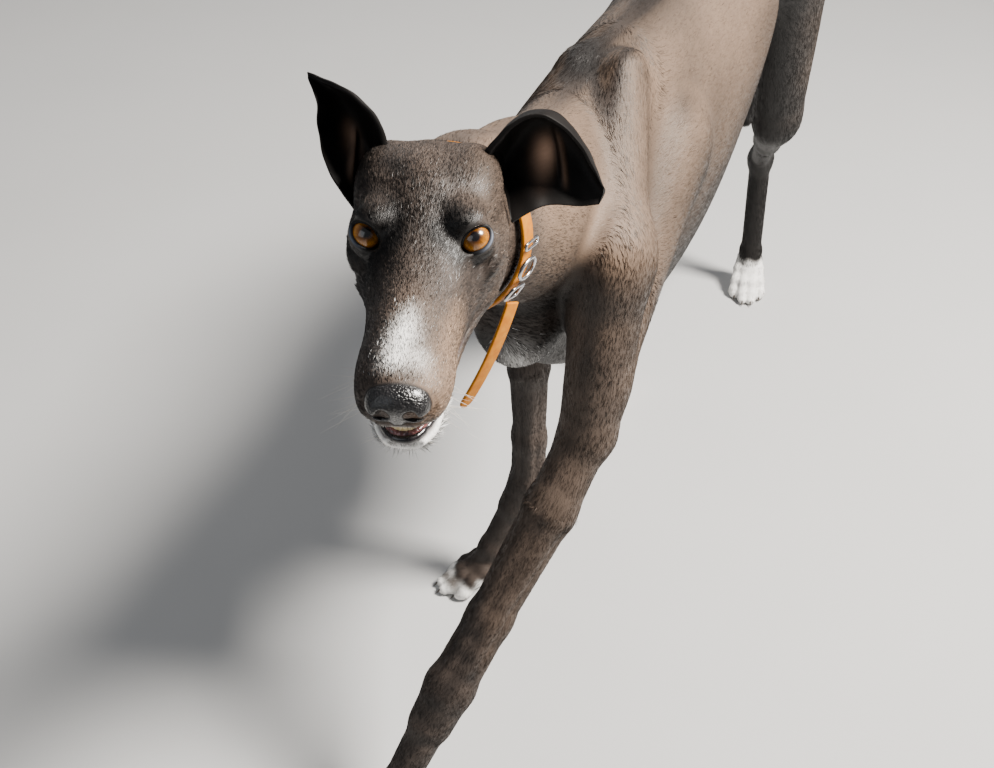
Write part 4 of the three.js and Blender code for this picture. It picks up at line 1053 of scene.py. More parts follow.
    @classmethod
    def hair_tone(cls, p: Array, normals: Array, rng: np.random.Generator) -> Array:
        """Tone of single tufts: each is white or coloured by chance, and a little lighter or darker."""
        tone = cls.tone(p, normals)
        share = cls.white_share(p)
        is_white = rng.random(len(p)) < share**0.8
        base = (tone - cls.WHITE * share[:, None]) / np.maximum(1 - share[:, None], 0.05)
        base = np.clip(base, cls.BLACK * 0.8, 0.3)
        tone = np.where(is_white[:, None], cls.WHITE, base)
        spread = 0.18 + 0.30 * smooth(-110, -80, in_head(p)[:, 0])
        return 0.95 * tone * np.exp(rng.normal(0, 1, len(p)) * spread)[:, None]


# Finishes.


class Board:
    """A node tree with short ways to add nodes and join them."""

    def __init__(self, tree: Tree) -> None:
        """Keeps the tree and clears it."""
        self.tree = tree
        tree.nodes.clear()

    def add(self, kind: str, settings: dict | None = None, **inputs: object) -> bpy.types.Node:
        """A node with its settings, and inputs given as values or as sockets to link from."""
        node = self.tree.nodes.new(kind)
        for key, value in (settings or {}).items():
            setattr(node, key, value)
        for key, value in inputs.items():
            name = key.replace("_", " ")
            is_number = name[0] == "n" and name[1:].isdigit()
            target = node.inputs[int(name[1:]) if is_number else name]
            if isinstance(value, Socket):
                self.tree.links.new(value, target)
            else:
                target.default_value = value
        return node

    def sum(self, operation: str, *values: object) -> Socket:
        """Result of a Math node."""
        inputs = {f"n{i}": v for i, v in enumerate(values)}
        return self.add("ShaderNodeMath", {"operation": operation}, **inputs).outputs[0]

    def ramp(self, value: Socket, stops: Sequence[tuple[float, Point]]) -> Socket:
        """Colour ramp with the given (place, colour) stops."""
        node = self.add("ShaderNodeValToRGB", Fac=value)
        ramp = node.color_ramp
        while len(ramp.elements) < len(stops):
            ramp.elements.new(0.5)
        for element, (place, colour) in zip(ramp.elements, stops):
            element.position = place
            element.color = (*colour, 1.0)
        return node.outputs[0]

    def tint(self, share: object, first: object, second: object, mode: str = "MIX") -> Socket:
        """Mix of two colours."""
        node = self.add("ShaderNodeMix", {"data_type": "RGBA", "blend_type": mode})
        for index, value in ((0, share), (6, first), (7, second)):
            if isinstance(value, Socket):
                self.tree.links.new(value, node.inputs[index])
            else:
                node.inputs[index].default_value = value
        return node.outputs[2]

    def noise(self, vector: Socket, scale: float, detail: float = 3.0) -> Socket:
        """Noise value at a scale."""
        return self.add("ShaderNodeTexNoise", Vector=vector, Scale=scale, Detail=detail).outputs[0]


def new_material(name: str) -> tuple[Material, Board]:
    """An empty material and its board."""
    material = bpy.data.materials.new(name)
    material.use_nodes = True
    return material, Board(material.node_tree)


def group(
    name: str, inputs: Sequence[tuple[str, str, object]], outputs: Sequence[tuple[str, str]]
) -> tuple[Board, dict]:
    """A shader node group with named sockets.

    Args:
        name: The group's name.
        inputs: Name, socket type and default of each input.
        outputs: Name and socket type of each output.

    Returns:
        The group's board, and its input and output nodes under "in" and "out".
    """
    tree = bpy.data.node_groups.new(name, "ShaderNodeTree")
    for label, kind, default in inputs:
        socket = tree.interface.new_socket(label, in_out="INPUT", socket_type=kind)
        socket.default_value = default
    for label, kind in outputs:
        tree.interface.new_socket(label, in_out="OUTPUT", socket_type=kind)
    board = Board(tree)
    return board, {"in": tree.nodes.new("NodeGroupInput"), "out": tree.nodes.new("NodeGroupOutput")}


def hair_grain() -> Tree:
    """Shared grain of short hair: streaks along the lie, soft clumps, and the height for a bump."""
    board, ends = group(
        "hair_grain",
        [("Tone", "NodeSocketColor", (0.05, 0.05, 0.05, 1)), ("Streaks", "NodeSocketFloat", 220.0),
         ("Contrast", "NodeSocketFloat", 0.5)],
        [("Colour", "NodeSocketColor"), ("Roughness", "NodeSocketFloat"), ("Height", "NodeSocketFloat")],
    )
    source = ends["in"].outputs
    lie = board.add("ShaderNodeUVMap", {"uv_map": "lie"}).outputs[0]
    place = board.add("ShaderNodeTexCoord").outputs["Object"]
    flat = board.add("ShaderNodeMapping", Vector=lie, Scale=(0.16, 1.0, 1.0)).outputs[0]
    fine = board.add("ShaderNodeTexNoise", Vector=flat, Detail=2.0)
    board.tree.links.new(source["Streaks"], fine.inputs["Scale"])
    clumps = board.noise(place, 60.0, 3.0)
    streak = board.sum("SUBTRACT", fine.outputs[0], 0.5)
    shade = board.sum("MULTIPLY_ADD", streak, source["Contrast"], 0.5)
    shade = board.sum("MULTIPLY_ADD", board.sum("SUBTRACT", clumps, 0.5), 0.35, shade)
    gain = board.add("ShaderNodeMapRange", Value=shade, From_Min=0.0, From_Max=1.0, To_Min=0.45, To_Max=1.6)
    colour = board.tint(1.0, source["Tone"], gain.outputs[0], "MULTIPLY")
    rough = board.add("ShaderNodeMapRange", Value=shade, To_Min=0.62, To_Max=0.42)
    board.tree.links.new(colour, ends["out"].inputs["Colour"])
    board.tree.links.new(rough.outputs[0], ends["out"].inputs["Roughness"])
    board.tree.links.new(fine.outputs[0], ends["out"].inputs["Height"])
    return board.tree


@dataclass(frozen=True)
class HairFinish:
    """Short hair, on the skin or as tufts, coloured by the attribute the markings are painted in."""

    name: str
    streaks: float = 240.0
    contrast: float = 0.6
    bump: float = 0.35
    sheen: float = 0.02
    gloss: float = 0.25
    roughness: float = 0.5
    is_tuft: bool = False

    def make(self, grain: Tree) -> Material:
        """Tone through the shared grain with a bump along the lie, or for tufts tone and their own lay."""
        material, board = new_material(self.name)
        tone = board.add("ShaderNodeAttribute", {"attribute_name": "tone"}).outputs["Color"]
        shader = board.add("ShaderNodeBsdfPrincipled")
        shader.inputs["Sheen Weight"].default_value = self.sheen
        shader.inputs["Specular IOR Level"].default_value = self.gloss
        shader.inputs["Sheen Roughness"].default_value = 0.4
        if self.is_tuft:
            place = board.add("ShaderNodeTexCoord").outputs["Object"]
            shade = board.noise(place, 420.0, 2.0)
            gain = board.add("ShaderNodeMapRange", Value=shade, To_Min=0.8, To_Max=1.2).outputs[0]
            board.tree.links.new(board.tint(1.0, tone, gain, "MULTIPLY"), shader.inputs["Base Color"])
            shader.inputs["Roughness"].default_value = self.roughness
            lay = board.add("ShaderNodeAttribute", {"attribute_name": "lay"}).outputs["Vector"]
            board.tree.links.new(lay, shader.inputs["Normal"])
        else:
            node = board.add("ShaderNodeGroup", {"node_tree": grain}, Tone=tone)
            node.inputs["Streaks"].default_value = self.streaks
            node.inputs["Contrast"].default_value = self.contrast
            height = node.outputs["Height"]
            bump = board.add("ShaderNodeBump", Height=height, Strength=self.bump, Distance=0.0012)
            for source, target in (("Colour", "Base Color"), ("Roughness", "Roughness")):
                board.tree.links.new(node.outputs[source], shader.inputs[target])
            board.tree.links.new(bump.outputs[0], shader.inputs["Normal"])
        board.add("ShaderNodeOutputMaterial", Surface=shader.outputs[0])
        return material


@dataclass(frozen=True)
class PlainFinish:
    """A finish with one main colour, broken by noise, with a grained bump."""

    name: str
    colour: Point
    second: Point
    roughness: tuple[float, float] = (0.35, 0.5)
    metallic: float = 0.0
    coat: float = 0.0
    scale: float = 120.0
    bump: float = 0.1
    pebbles: float = 0.0
    gloss: float = 0.5

    def make(self) -> Material:
        """Two colours mixed by noise, pebbles from Voronoi cells, and roughness that varies."""
        material, board = new_material(self.name)
        place = board.add("ShaderNodeTexCoord").outputs["Object"]
        cloud = board.noise(place, self.scale, 4.0)
        share = board.add("ShaderNodeMapRange", Value=cloud, From_Min=0.35, From_Max=0.65).outputs[0]
        colour = board.tint(share, (*self.colour, 1), (*self.second, 1))
        rough = board.add("ShaderNodeMapRange", Value=cloud, From_Min=0.3, From_Max=0.7,
                          To_Min=self.roughness[0], To_Max=self.roughness[1]).outputs[0]
        height = cloud
        if self.pebbles:
            settings = {"feature": "SMOOTH_F1"}
            cells = board.add("ShaderNodeTexVoronoi", settings, Vector=place, Scale=self.pebbles)
            height = board.sum("MULTIPLY_ADD", cells.outputs["Distance"], -1.0, cloud)
        shader = board.add("ShaderNodeBsdfPrincipled", Base_Color=colour, Roughness=rough)
        shader.inputs["Metallic"].default_value = self.metallic
        shader.inputs["Coat Weight"].default_value = self.coat
        shader.inputs["Specular IOR Level"].default_value = self.gloss
        shader.inputs["Coat Roughness"].default_value = 0.12
        bump = board.add("ShaderNodeBump", Height=height, Strength=self.bump, Distance=0.0008)
        board.tree.links.new(bump.outputs[0], shader.inputs["Normal"])
        board.add("ShaderNodeOutputMaterial", Surface=shader.outputs[0])
        return material


def eye_finish() -> Material:
    """Amber iris with radial fibres round a dark pupil, a dark edge and dark sclera, under a wet coat; its
    ramp also paints the shade of the iris's hollow.
    """
    material, board = new_material("amber_eye")
    uv = board.add("ShaderNodeUVMap", {"uv_map": "iris"}).outputs[0]
    split = board.add("ShaderNodeSeparateXYZ", Vector=uv)
    out, turn = split.outputs[0], split.outputs[1]
    round_ = board.sum("MULTIPLY", turn, 2 * math.pi)
    ring = board.add("ShaderNodeCombineXYZ", X=board.sum("COSINE", round_), Y=board.sum("SINE", round_),
                     Z=board.sum("MULTIPLY", out, 0.6)).outputs[0]
    fibres = board.add("ShaderNodeTexNoise", Vector=ring, Scale=9.0, Detail=4.0, Roughness=0.6).outputs[0]
    blotch = board.add("ShaderNodeTexNoise", Vector=ring, Scale=1.6, Detail=2.0).outputs[0]
    place = board.sum("MULTIPLY_ADD", board.sum("SUBTRACT", fibres, 0.5), 0.05, out)
    # Amber of the iris, darker near the pupil and brightest midway: iris colour with painted shade of its
    # hollow.
    base = board.ramp(place, (
        (0.0, (0.004, 0.003, 0.004)), (0.150, (0.004, 0.003, 0.004)), (0.185, (0.06, 0.020, 0.005)),
        (0.30, (0.20, 0.070, 0.004)), (0.46, (0.40, 0.150, 0.005)), (0.58, (0.26, 0.085, 0.005)),
        (0.66, (0.03, 0.012, 0.008)), (0.75, (0.02, 0.012, 0.010)), (1.0, (0.10, 0.06, 0.05)),
    ))
    gain = board.add("ShaderNodeMapRange", Value=board.sum("ADD", fibres, blotch), From_Min=0.7, From_Max=1.3,
                     To_Min=0.55, To_Max=1.35).outputs[0]
    colour = board.tint(1.0, base, gain, "MULTIPLY")
    shader = board.add("ShaderNodeBsdfPrincipled", Base_Color=colour, Roughness=0.22)
    shader.inputs["Coat Weight"].default_value = 1.0
    shader.inputs["Coat Roughness"].default_value = 0.015
    shader.inputs["Coat IOR"].default_value = 1.45
    board.add("ShaderNodeOutputMaterial", Surface=shader.outputs[0])
    return material


# Pieces of the dog.

COLLAR_MIDDLE = np.array([27.0, -291.0, 681.0])
COLLAR_NORMAL = unit(np.array([0.1, -0.94, 0.2]))
SEAM_DEPTH = 6.0
SEAM_SINK = 0.022


@dataclass(frozen=True)
class Seam:
    """Plane where two skins of the same form meet; each slips under the other past it."""

    at: Point
    normal: Point
    reach: float

    def beyond(self, points: Array) -> Array:
        """Distance past the plane, for points within reach of it, and far short of it elsewhere."""
        q = points - np.asarray(self.at, float)
        past = q @ np.asarray(self.normal, float)
        return np.where(np.linalg.norm(q, axis=1) < self.reach, past, -99.0)

    def cut(self, value: Array, points: Array, sign: float = 1.0) -> Array:
        """The field sunk by the squared distance past the plane and ended a few millimetres on."""
        past = self.beyond(points)
        past = np.where(past > -98, past * sign, -99.0)
        sunk = value + SEAM_SINK * np.maximum(past, 0) ** 2
        return np.maximum(sunk, past - SEAM_DEPTH)


def leg_seam(upper: Point, lower: Point, share: float) -> Seam:
    """Seam across a leg, part of the way down one of its lengths."""
    at = mix(upper, lower, share)
    return Seam(tuple(at), tuple(unit(np.asarray(lower, float) - upper)), 140.0)


SEAM_SHARES = {"fore": 0.3, "hind": 0.62}
LEG_SEAMS = {leg.nodes[-1]: leg_seam(*leg.bone, SEAM_SHARES[leg.KIND]) for leg in LEGS}
COLLAR_SEAM = Seam(tuple(COLLAR_MIDDLE), tuple(COLLAR_NORMAL), 320.0)
TAIL_SEAM = Seam((-4, 660, 500), tuple(unit(np.array([-0.08, 0.38, -0.92]))), 60.0)


@dataclass
class Skin:
    """One stretch of skin drawn on a field, painted with the markings and unwrapped along the lie."""

    name: str
    net: Net
    slot: str
    nodes: tuple[str, ...]
    points: Array = field(default_factory=lambda: np.zeros((0, 3)))
    faces: Array = field(default_factory=lambda: np.zeros((0, 4), int))
    normals: Array = field(default_factory=lambda: np.zeros((0, 3)))

    def build(self, finish: Material) -> None:
        """Draws the net, paints the tone and writes the lie's unwrap for the grain."""
        self.points, self.faces = self.net.surface()
        made = piece(self.name, self.points, self.faces)
        self.normals = unit(slope_of(self.net.solid, self.points))
        paint(made, "tone", Markings.tone(self.points, self.normals))
        unwrap_lie(made, self.points, self.faces)
        finish_piece(made, finish, self.nodes)


def unwrap_lie(made: Object, points: Array, faces: Array) -> None:
    """UV map along and round the stretch that each face belongs to, in decimetres."""
    owner = LIE.nearest(points[faces].mean(1))
    corners = points[faces].reshape(-1, 3)
    flat = LIE.flat(corners, np.repeat(owner, faces.shape[1])).reshape(len(faces), -1, 2)
    radius = LIE.radius[owner][:, None]
    turn = 2 * math.pi * radius
    first = flat[:, :1, 1]
    flat[:, :, 1] -= turn * np.round((flat[:, :, 1] - first) / turn)
    if not np.array_equal(loop_points(made), faces.ravel()):
        flat = flat[:, ::-1]
    unwrap(made, "lie", flat * 0.01)


# Half length of the lids' opening along the slit, and its half height.
LID_HALF = 13.4
LID_HIGH = 8.5


@dataclass(frozen=True)
class EyePlace:
    """One eye: where it is, where it looks and how its lids face."""

    side: Side

    @property
    def centre(self) -> Array:
        """Middle of the ball."""
        return on_head((0, self.side.value * EYE_HALF_SPACING, 0))

    @property
    def gaze(self) -> Array:
        """Direction of the pupil, towards the onlooker."""
        return unit(np.array([0.75, 0.07, 0.65]) @ HEAD_AXES)

    @property
    def lid_axes(self) -> Array:
        """Outwards corner, upper lid and opening directions of the lids."""
        s = self.side.value
        facing = unit(np.array([0.84, 0.10 + s * 0.10, 0.51]) @ HEAD_AXES)
        corner = np.array([-0.38, s * 0.79, 0.47]) @ HEAD_AXES
        corner = unit(corner - (corner @ facing) * facing)
        upper = np.cross(facing, corner)
        return np.stack([corner, upper if upper[2] > 0 else -upper, facing])


EYES = (EyePlace(Side.LEFT), EyePlace(Side.RIGHT))


def head_field(anatomy: Anatomy) -> Field:
    """The head with its lip edges, mouth slot, lower jaw, eye sockets and nose seat."""
    jaw = Loft(JAW_ROWS, 2.2, 2.2, in_head)
    core = head_egg((38, 0, -60), (58, 13, 14))
    nose_seat = head_egg((129, 0, -29), (13.5, 17, 11.5))

    def distance(points: Array) -> Array:
        """Skull and jaw joined, less the wedge between the lips, less the eyes' openings."""
        a, _, c = in_head(points).T
        value = blend(anatomy.nape.distance(points), jaw.distance(points), 6)
        top, bottom = profile(UPPER_LIP, a), profile(LOWER_LIP, a)
        slot = np.maximum(np.maximum(c - top, bottom - c), 4 - a)
        slot = -blend(-slot, core.distance(points), 4)
        depth = smooth(0, 30, a)
        slot = slot + (1 - depth) * 3
        value = -blend(-value, slot, 2.4)
        value = blend(value, nose_seat.distance(points), 4)
        for eye in EYES:
            q = points - eye.centre
            x, y, z = (q @ eye.lid_axes.T).T
            ball = np.sqrt(x * x + y * y + z * z)
            value = blend(value, ball - (EYE_RADIUS + 1.2), 7)
            well = np.maximum(np.hypot(x / (0.85 * LID_HALF), y / (0.92 * LID_HIGH)) * 9 - 9, 2 - z)
            value = -blend(-value, well, 1.5)
        return COLLAR_SEAM.cut(value, points, -1.0)

    return distance


@dataclass
class Eyeball:
    """An eye: ball with a raised clear window, its pole turned to the gaze."""

    place: EyePlace
    rings: int = 48
    sides: int = 64
    window: float = 1.1

    def build(self, finish: Material) -> None:
        """Sphere rings from the pupil to the back; near the pole the radius grows by a bell curve."""
        turn = np.linspace(0, math.pi, self.rings + 2)[1:-1]
        round_ = circle(self.sides)
        facing = self.place.gaze
        first = unit(np.cross(facing, [0, 0, 1.0]))
        second = np.cross(facing, first)
        radius = EYE_RADIUS - 0.25 + self.window * hump(turn, 0.62)
        ray = (
            np.cos(turn)[:, None, None] * facing
            + np.sin(turn)[:, None, None]
            * (np.cos(round_)[None, :, None] * first + np.sin(round_)[None, :, None] * second)
        )
        rows = self.place.centre + ray * radius[:, None, None]
        points, quads, ends = closed_tube(rows)
        points[-2] = self.place.centre + facing * (EYE_RADIUS - 0.25 + self.window)
        points[-1] = self.place.centre - facing * (EYE_RADIUS - 0.25)
        name = "eye_" + self.place.side.word
        made = piece(name + "_ball", points, quads, ends)
        order = loop_points(made)
        q = unit(points - self.place.centre)
        out = np.arccos(np.clip(q @ facing, -1, 1)) / (math.pi / 2)
        share = np.arctan2(q @ second, q @ first) / (2 * math.pi)
        unwrap(made, "iris", np.stack([out[order], share[order]], 1))
        finish_piece(made, finish, (name,))


@dataclass
class Lids:
    """The lids of one eye: a rolled wet margin that runs out into the face.

    The section is given as (out from the slit, height over the ball).
    """

    place: EyePlace
    solid: Field
    columns: int = 96
    section: tuple[tuple[float, float], ...] = (
        (-0.7, -1.6), (-0.75, -0.2), (-0.55, 0.9), (-0.1, 1.6), (0.5, 1.95), (1.2, 2.0),
        (2.0, 1.75), (2.8, 1.75), (3.8, 2.0), (5.0, 1.5), (6.4, 0.6), (8.0, -0.4),
    )

    def almond(self) -> Array:
        """Closed slit curve: a flattened ring drawn out to a point at the nose-side corner."""
        t = circle(self.columns)
        x = LID_HALF * np.cos(t) - 2.4 * np.maximum(-np.cos(t), 0) ** 6
        bow = np.abs(np.sin(t)) ** 1.12 * np.sign(np.sin(t))
        y = LID_HIGH * bow * np.where(bow > 0, 0.88, 0.97)
        y = y - 1.6 * np.maximum(-np.cos(t), 0) ** 3 + 0.6 * np.maximum(np.cos(t), 0) ** 3
        return np.stack([x, y], 1)

    def build(self, finish: Material) -> None:
        """Carries the lid's section round the slit over the ball, then lays its skirt on the face."""
        path = self.almond()
        away = unit(np.roll(path, -1, 0) - np.roll(path, 1, 0)) @ np.array([[0, -1.0], [1.0, 0]])
        section = np.array(self.section)
        rows = []
        for out, high in section:
            flat = path + away * out
            far = np.linalg.norm(flat, axis=1)[:, None]
            turn = far / (EYE_RADIUS + 1)
            direction = np.concatenate([flat / np.maximum(far, 1e-6) * np.sin(turn), np.cos(turn)], 1)
            ball = self.place.centre + (direction * (EYE_RADIUS + high)) @ self.place.lid_axes
            share = float(smooth(2.0, 6.5, np.array(out)))
            if share > 0:
                face = settle(self.solid, ball, 4, 5.0)
                down = slope_of(self.solid, face)
                sunk = 0.25 + 0.7 * max(out - 5.5, 0) - 0.35 * hump(out - 3.8, 1.4)
                face = face - unit(down) * sunk
                ball = ball * (1 - share) + face * share
            rows.append(ball)
        grid = np.stack(rows)
        points = grid.reshape(-1, 3)
        faces = grid_faces(len(rows), self.columns)
        name = f"eye_{self.place.side.word}_lids"
        made = piece(name, points, faces)
        normals = unit(points - self.place.centre)
        tone = Markings.tone(points, normals)
        across = np.repeat(section[:, 0], self.columns)
        lower = np.tile(path[:, 1], len(section))
        rim = smooth(3.4, 2.0, across)[:, None]
        outer = np.tile(smooth(-6, 6, path[:, 0]), len(section))
        wet = (smooth(0.1, -0.7, lower / LID_HIGH) * outer * hump(across - 0.3, 0.7))[:, None]
        tone = tone * 0.6 * (1 - rim) + Markings.LEATHER * rim
        tone = tone * (1 - 0.6 * wet) + Markings.WET * 0.6 * wet
        paint(made, "tone", tone)
        unwrap_lie(made, points, faces)
        finish_piece(made, finish)


def nose_solid(points: Array) -> Array:
    """Distance from the nose: pad, lower middle and two wings, less the nostrils and their side slits."""
    layers = [
        Layer(head_egg((128, 0, -29), (15.2, 19.0, 12.6))),
        Layer(head_egg((126, 0, -39), (12.5, 6, 9)), 6),
    ]
    for s in (1, -1):
        layers += [
            Layer(head_egg((132.5, s * 11.5, -33), (9, 7.4, 8)), 5),
            Layer(head_egg((142.5, s * 8.2, -33), (9.5, 4.4, 4.4)), 2, True),
            Layer(head_egg((137.5, s * 15.0, -36), (9, 5.8, 2.2)), 2.5, True),
        ]
    value = Flesh(tuple(layers)).distance(points)
    a, b, c = in_head(points).T
    groove = 0.8 * hump(b, 1.3) * smooth(-24, -34, c) * smooth(132, 138, a)
    return np.maximum(value + groove, 115 - a)


@dataclass
class Nose:
    """Leather of the nose with its wings and nostrils."""

    cell: float = 0.75

    def build(self, finish: Material) -> None:
        """Draws the nose as a fine net."""
        corners = on_head(CORNERS * [34, 46, 38] + [115, -23, -52])
        net = Net(nose_solid, corners.min(0), corners.max(0), self.cell, 5)
        points, faces = net.surface()
        made = piece("nose_leather", points, faces)
        finish_piece(made, finish, ("nose",))


# Edge of the lower lip in head places, from the right corner round the chin to the left one.
LIP_EDGE = (
    (58, -21.5, -62.5), (80, -19.5, -66), (99, -16.8, -68.2), (109, -13.4, -68.8), (115.6, -9.8, -69),
    (119.2, -5.6, -69), (120.6, 0.6, -69), (118.4, 7.0, -69), (110.5, 12.2, -68.8), (99, 16.8, -68.2),
    (80, 19.5, -66), (58, 21.5, -62.5),
)


@dataclass
class Mouth:
    """Lower gum with its six incisors and two canines, and the lip round them."""

    front: float = 119.0
    half: float = 14.0
    high: float = -63.6
    levels: tuple[float, ...] = (-4.5, 0.0, 0.35, 0.7, 0.9, 1.0)
    deep: tuple[float, ...] = (1.7, 1.7, 1.5, 1.1, 0.75, 0.3)
    incisor_wide: tuple[float, ...] = (0.8, 0.92, 1.08, 1.06, 0.8, 0.25)
    canine_wide: tuple[float, ...] = (0.8, 1.0, 1.08, 0.86, 0.5, 0.1)
    lip_thick: float = 2.3

    def row(self, share: Array) -> Array:
        """Horseshoe of the tooth row in the head's plane, from the right canine to the left one."""
        turn = np.pi * (np.asarray(share) - 0.5) * 0.92
        return np.stack([self.front - 22 + 22 * np.cos(turn) ** 0.8, self.half * np.sin(turn)], -1)

    def frames(self, share: Array) -> tuple[Array, Array]:
        """Foot of the teeth and the outward direction at shares of the row."""
        spot = self.row(share)
        out = unit(np.stack([spot[..., 0] - 95, spot[..., 1] * 1.4], -1))
        return spot - out * 2.2, out

    def gum(self) -> tuple[Array, Array, Array]:
        """Rounded strip along the row, with a scallop at each tooth."""
        share = np.linspace(-0.03, 1.03, 72)
        foot, out = self.frames(np.clip(share, 0, 1))
        turn = circle(16)
        wave = 0.55 * np.cos((share - 0.3) / 0.08 * 2 * math.pi) * (np.abs(share - 0.5) < 0.24)
        side = 3.6 * squared(np.cos(turn), 0.7)
        rise = 4.4 * squared(np.sin(turn), 0.8)
        flat = foot[:, None, :] + out[:, None, :] * side[None, :, None]
        up = self.high - 5.0 + rise[None, :] + wave[:, None] * np.maximum(np.sin(turn), 0)[None, :]
        return closed_tube(on_head(np.concatenate([flat, up[..., None]], -1)))

    def tooth(self, share: float, width: float, high: float, is_canine: bool) -> tuple[Array, Array, Array]:
        """Oval sections that narrow and thin to the crown; a canine curves to a blunt point."""
        foot, out = (v[0] for v in self.frames(np.array([share])))
        along = np.array([-out[1], out[0]])
        levels = np.array(self.levels)
        wide = np.array(self.canine_wide if is_canine else self.incisor_wide)
        deep = np.array(self.deep) * (1.25 if is_canine else 0.85)
        turn = circle(14)
        rise = np.where(levels < 0, levels, levels * high)
        flat = (
            foot
            + along * (np.cos(turn)[None, :, None] * (wide * width / 2)[:, None, None])
            + out * (np.sin(turn)[None, :, None] * deep[:, None, None] + (levels * 0.7)[:, None, None])
        )
        up = np.broadcast_to((self.high + rise)[:, None, None], (*flat.shape[:2], 1))
        return closed_tube(on_head(np.concatenate([flat, up], -1)))

    def lip(self) -> tuple[Array, Array, Array]:
        """Black wet roll of the lower lip, carried along its edge from corner to corner."""
        path = spline(LIP_EDGE, np.linspace(0, 1, 120))
        ahead = unit(np.gradient(path, axis=0))
        out = unit(np.cross(ahead, [0, 0, 1.0]))
        up = np.cross(out, ahead)
        ends = np.sqrt(np.clip(1 - np.abs(np.linspace(-1, 1, 120)) ** 8, 0.04, 1))
        thick = (self.lip_thick + 0.25 * wander(path, 9, 8)) * ends
        return closed_tube(on_head(swept(path, out, 1.15 * up, circle(16), thick[:, None, None])))

    def build(self, gum: Material, enamel: Material, lip: Material) -> None:
        """Makes the gum and the lip, then the teeth as one piece."""
        finish_piece(piece("lower_gum", *self.gum()), gum)
        finish_piece(piece("lower_lip", *self.lip()), lip)
        made = [self.tooth(t, 4.4, 5.8, False) for t in (0.3, 0.38, 0.46, 0.54, 0.62, 0.7)]
        made += [self.tooth(t, 5.6, 7.4, True) for t in (0.14, 0.86)]
        finish_piece(piece("lower_teeth_enamel", *joined(made)), enamel, ("lower_teeth",))


@dataclass
class Whiskers:
    """Long pale feelers on the upper lip, the chin and the brows.

    Each row is given as its first and last place on the left of the head, its count and its length.
    """

    rows: tuple[tuple[Point, Point, int, float], ...] = (
        ((78, 21, -47), (118, 15, -44), 7, 38.0),
        ((74, 22, -52), (116, 17, -50), 8, 34.0),
        ((84, 19, -73), (114, 11, -74), 6, 20.0),
        ((-8, 30, 13), (2, 24, 15), 3, 24.0),
    )

    def build(self, finish: Material) -> None:
        """Each feeler is a thin round rod that bends back and down on a quadratic curve to its tip."""
        rng = np.random.default_rng(SEED + 40)
        t = np.linspace(0, 1, 14)[:, None]
        thick = (0.19 * (1 - t) + 0.03)[:, :, None]
        made = []
        for first, last, count, long in self.rows:
            for side in (-1, 1):
                for share in rng.uniform(0, 1, count):
                    root = mix(first, last, share) * [1, side, 1]
                    out = np.array([0.35, side * 0.85, -0.25]) + rng.normal(0, 0.22, 3)
                    size = long * rng.uniform(0.55, 1.15)
                    path = root + unit(out) * size * t + np.array([-0.3, 0, -0.25]) * size * t**2
                    path = path - unit(out) * 3 * (1 - t)
                    ahead = unit(np.gradient(path, axis=0))
                    across = unit(np.cross(ahead, [0, 0, 1.0]))
                    up = np.cross(across, ahead)
                    made.append(closed_tube(on_head(swept(path, across, up, circle(5), thick))))
        finish_piece(piece("feelers", *joined(made)), finish)


@dataclass
class Claws:
    """Four dark claws on each paw, curved down to the floor."""

    def build(self, finish: Material) -> None:
        """Oval sections carried from the toe along a falling curve, narrowing to a blunt tip."""
        t = np.linspace(0, 1, 10)[:, None]
        thick = (2.5 * (1 - 0.8 * t**1.4))[:, :, None]
        made = []
        for leg in LEGS:
            for k in leg.TOES:
                path = leg.on_paw(leg.toe_length(k) - 9 + 10.5 * t, k * 12.5, 9.8 - 7.6 * t**1.6)
                ahead = unit(np.gradient(path, axis=0))
                up = unit(np.cross(leg.across, ahead))
                flat = np.broadcast_to(0.75 * leg.across, up.shape)
                made.append(closed_tube(swept(path, flat, up, circle(10), thick)))
        finish_piece(piece("claws", *joined(made)), finish)


def joined(parts: Sequence[tuple[Array, ...]]) -> tuple[Array, ...]:
    """Several sets of points and faces as one set, with the face numbers moved on."""
    count = 0
    points, faces = [], []
    for made in parts:
        points.append(made[0])
        faces.append([f + count for f in made[1:]])
        count += len(made[0])
    return (np.concatenate(points), *[np.concatenate(f) for f in zip(*faces)])


# Each ear's nose-side edge, deepest line and outer edge, in head places from root to tip.
EAR_CURVES = {
    Side.RIGHT: (
        ((-60, -28, 26), (-66, -34, 47), (-68, -46, 61), (-72, -61, 69), (-90, -85, 69)),
        ((-90, -42, 6), (-99, -54, 28), (-97, -63, 46), (-88, -71, 61), (-92, -85, 67)),
        ((-50, -49, -18), (-62, -70, 11), (-68, -75.5, 37), (-72, -76, 56), (-90, -84.5, 65)),
    ),
    Side.LEFT: (
        ((-60, 38, 30), (-64, 56, 50), (-66, 76, 55), (-66, 98, 37), (-63, 118.5, 3)),
        ((-90, 48, 8), (-97, 66, 30), (-94, 86, 34), (-84, 104, 20), (-65, 119, -2)),
        ((-48, 56, -17), (-53, 70, -10), (-58, 82, -8), (-61, 101, -10), (-61, 115, -8)),
    ),
}


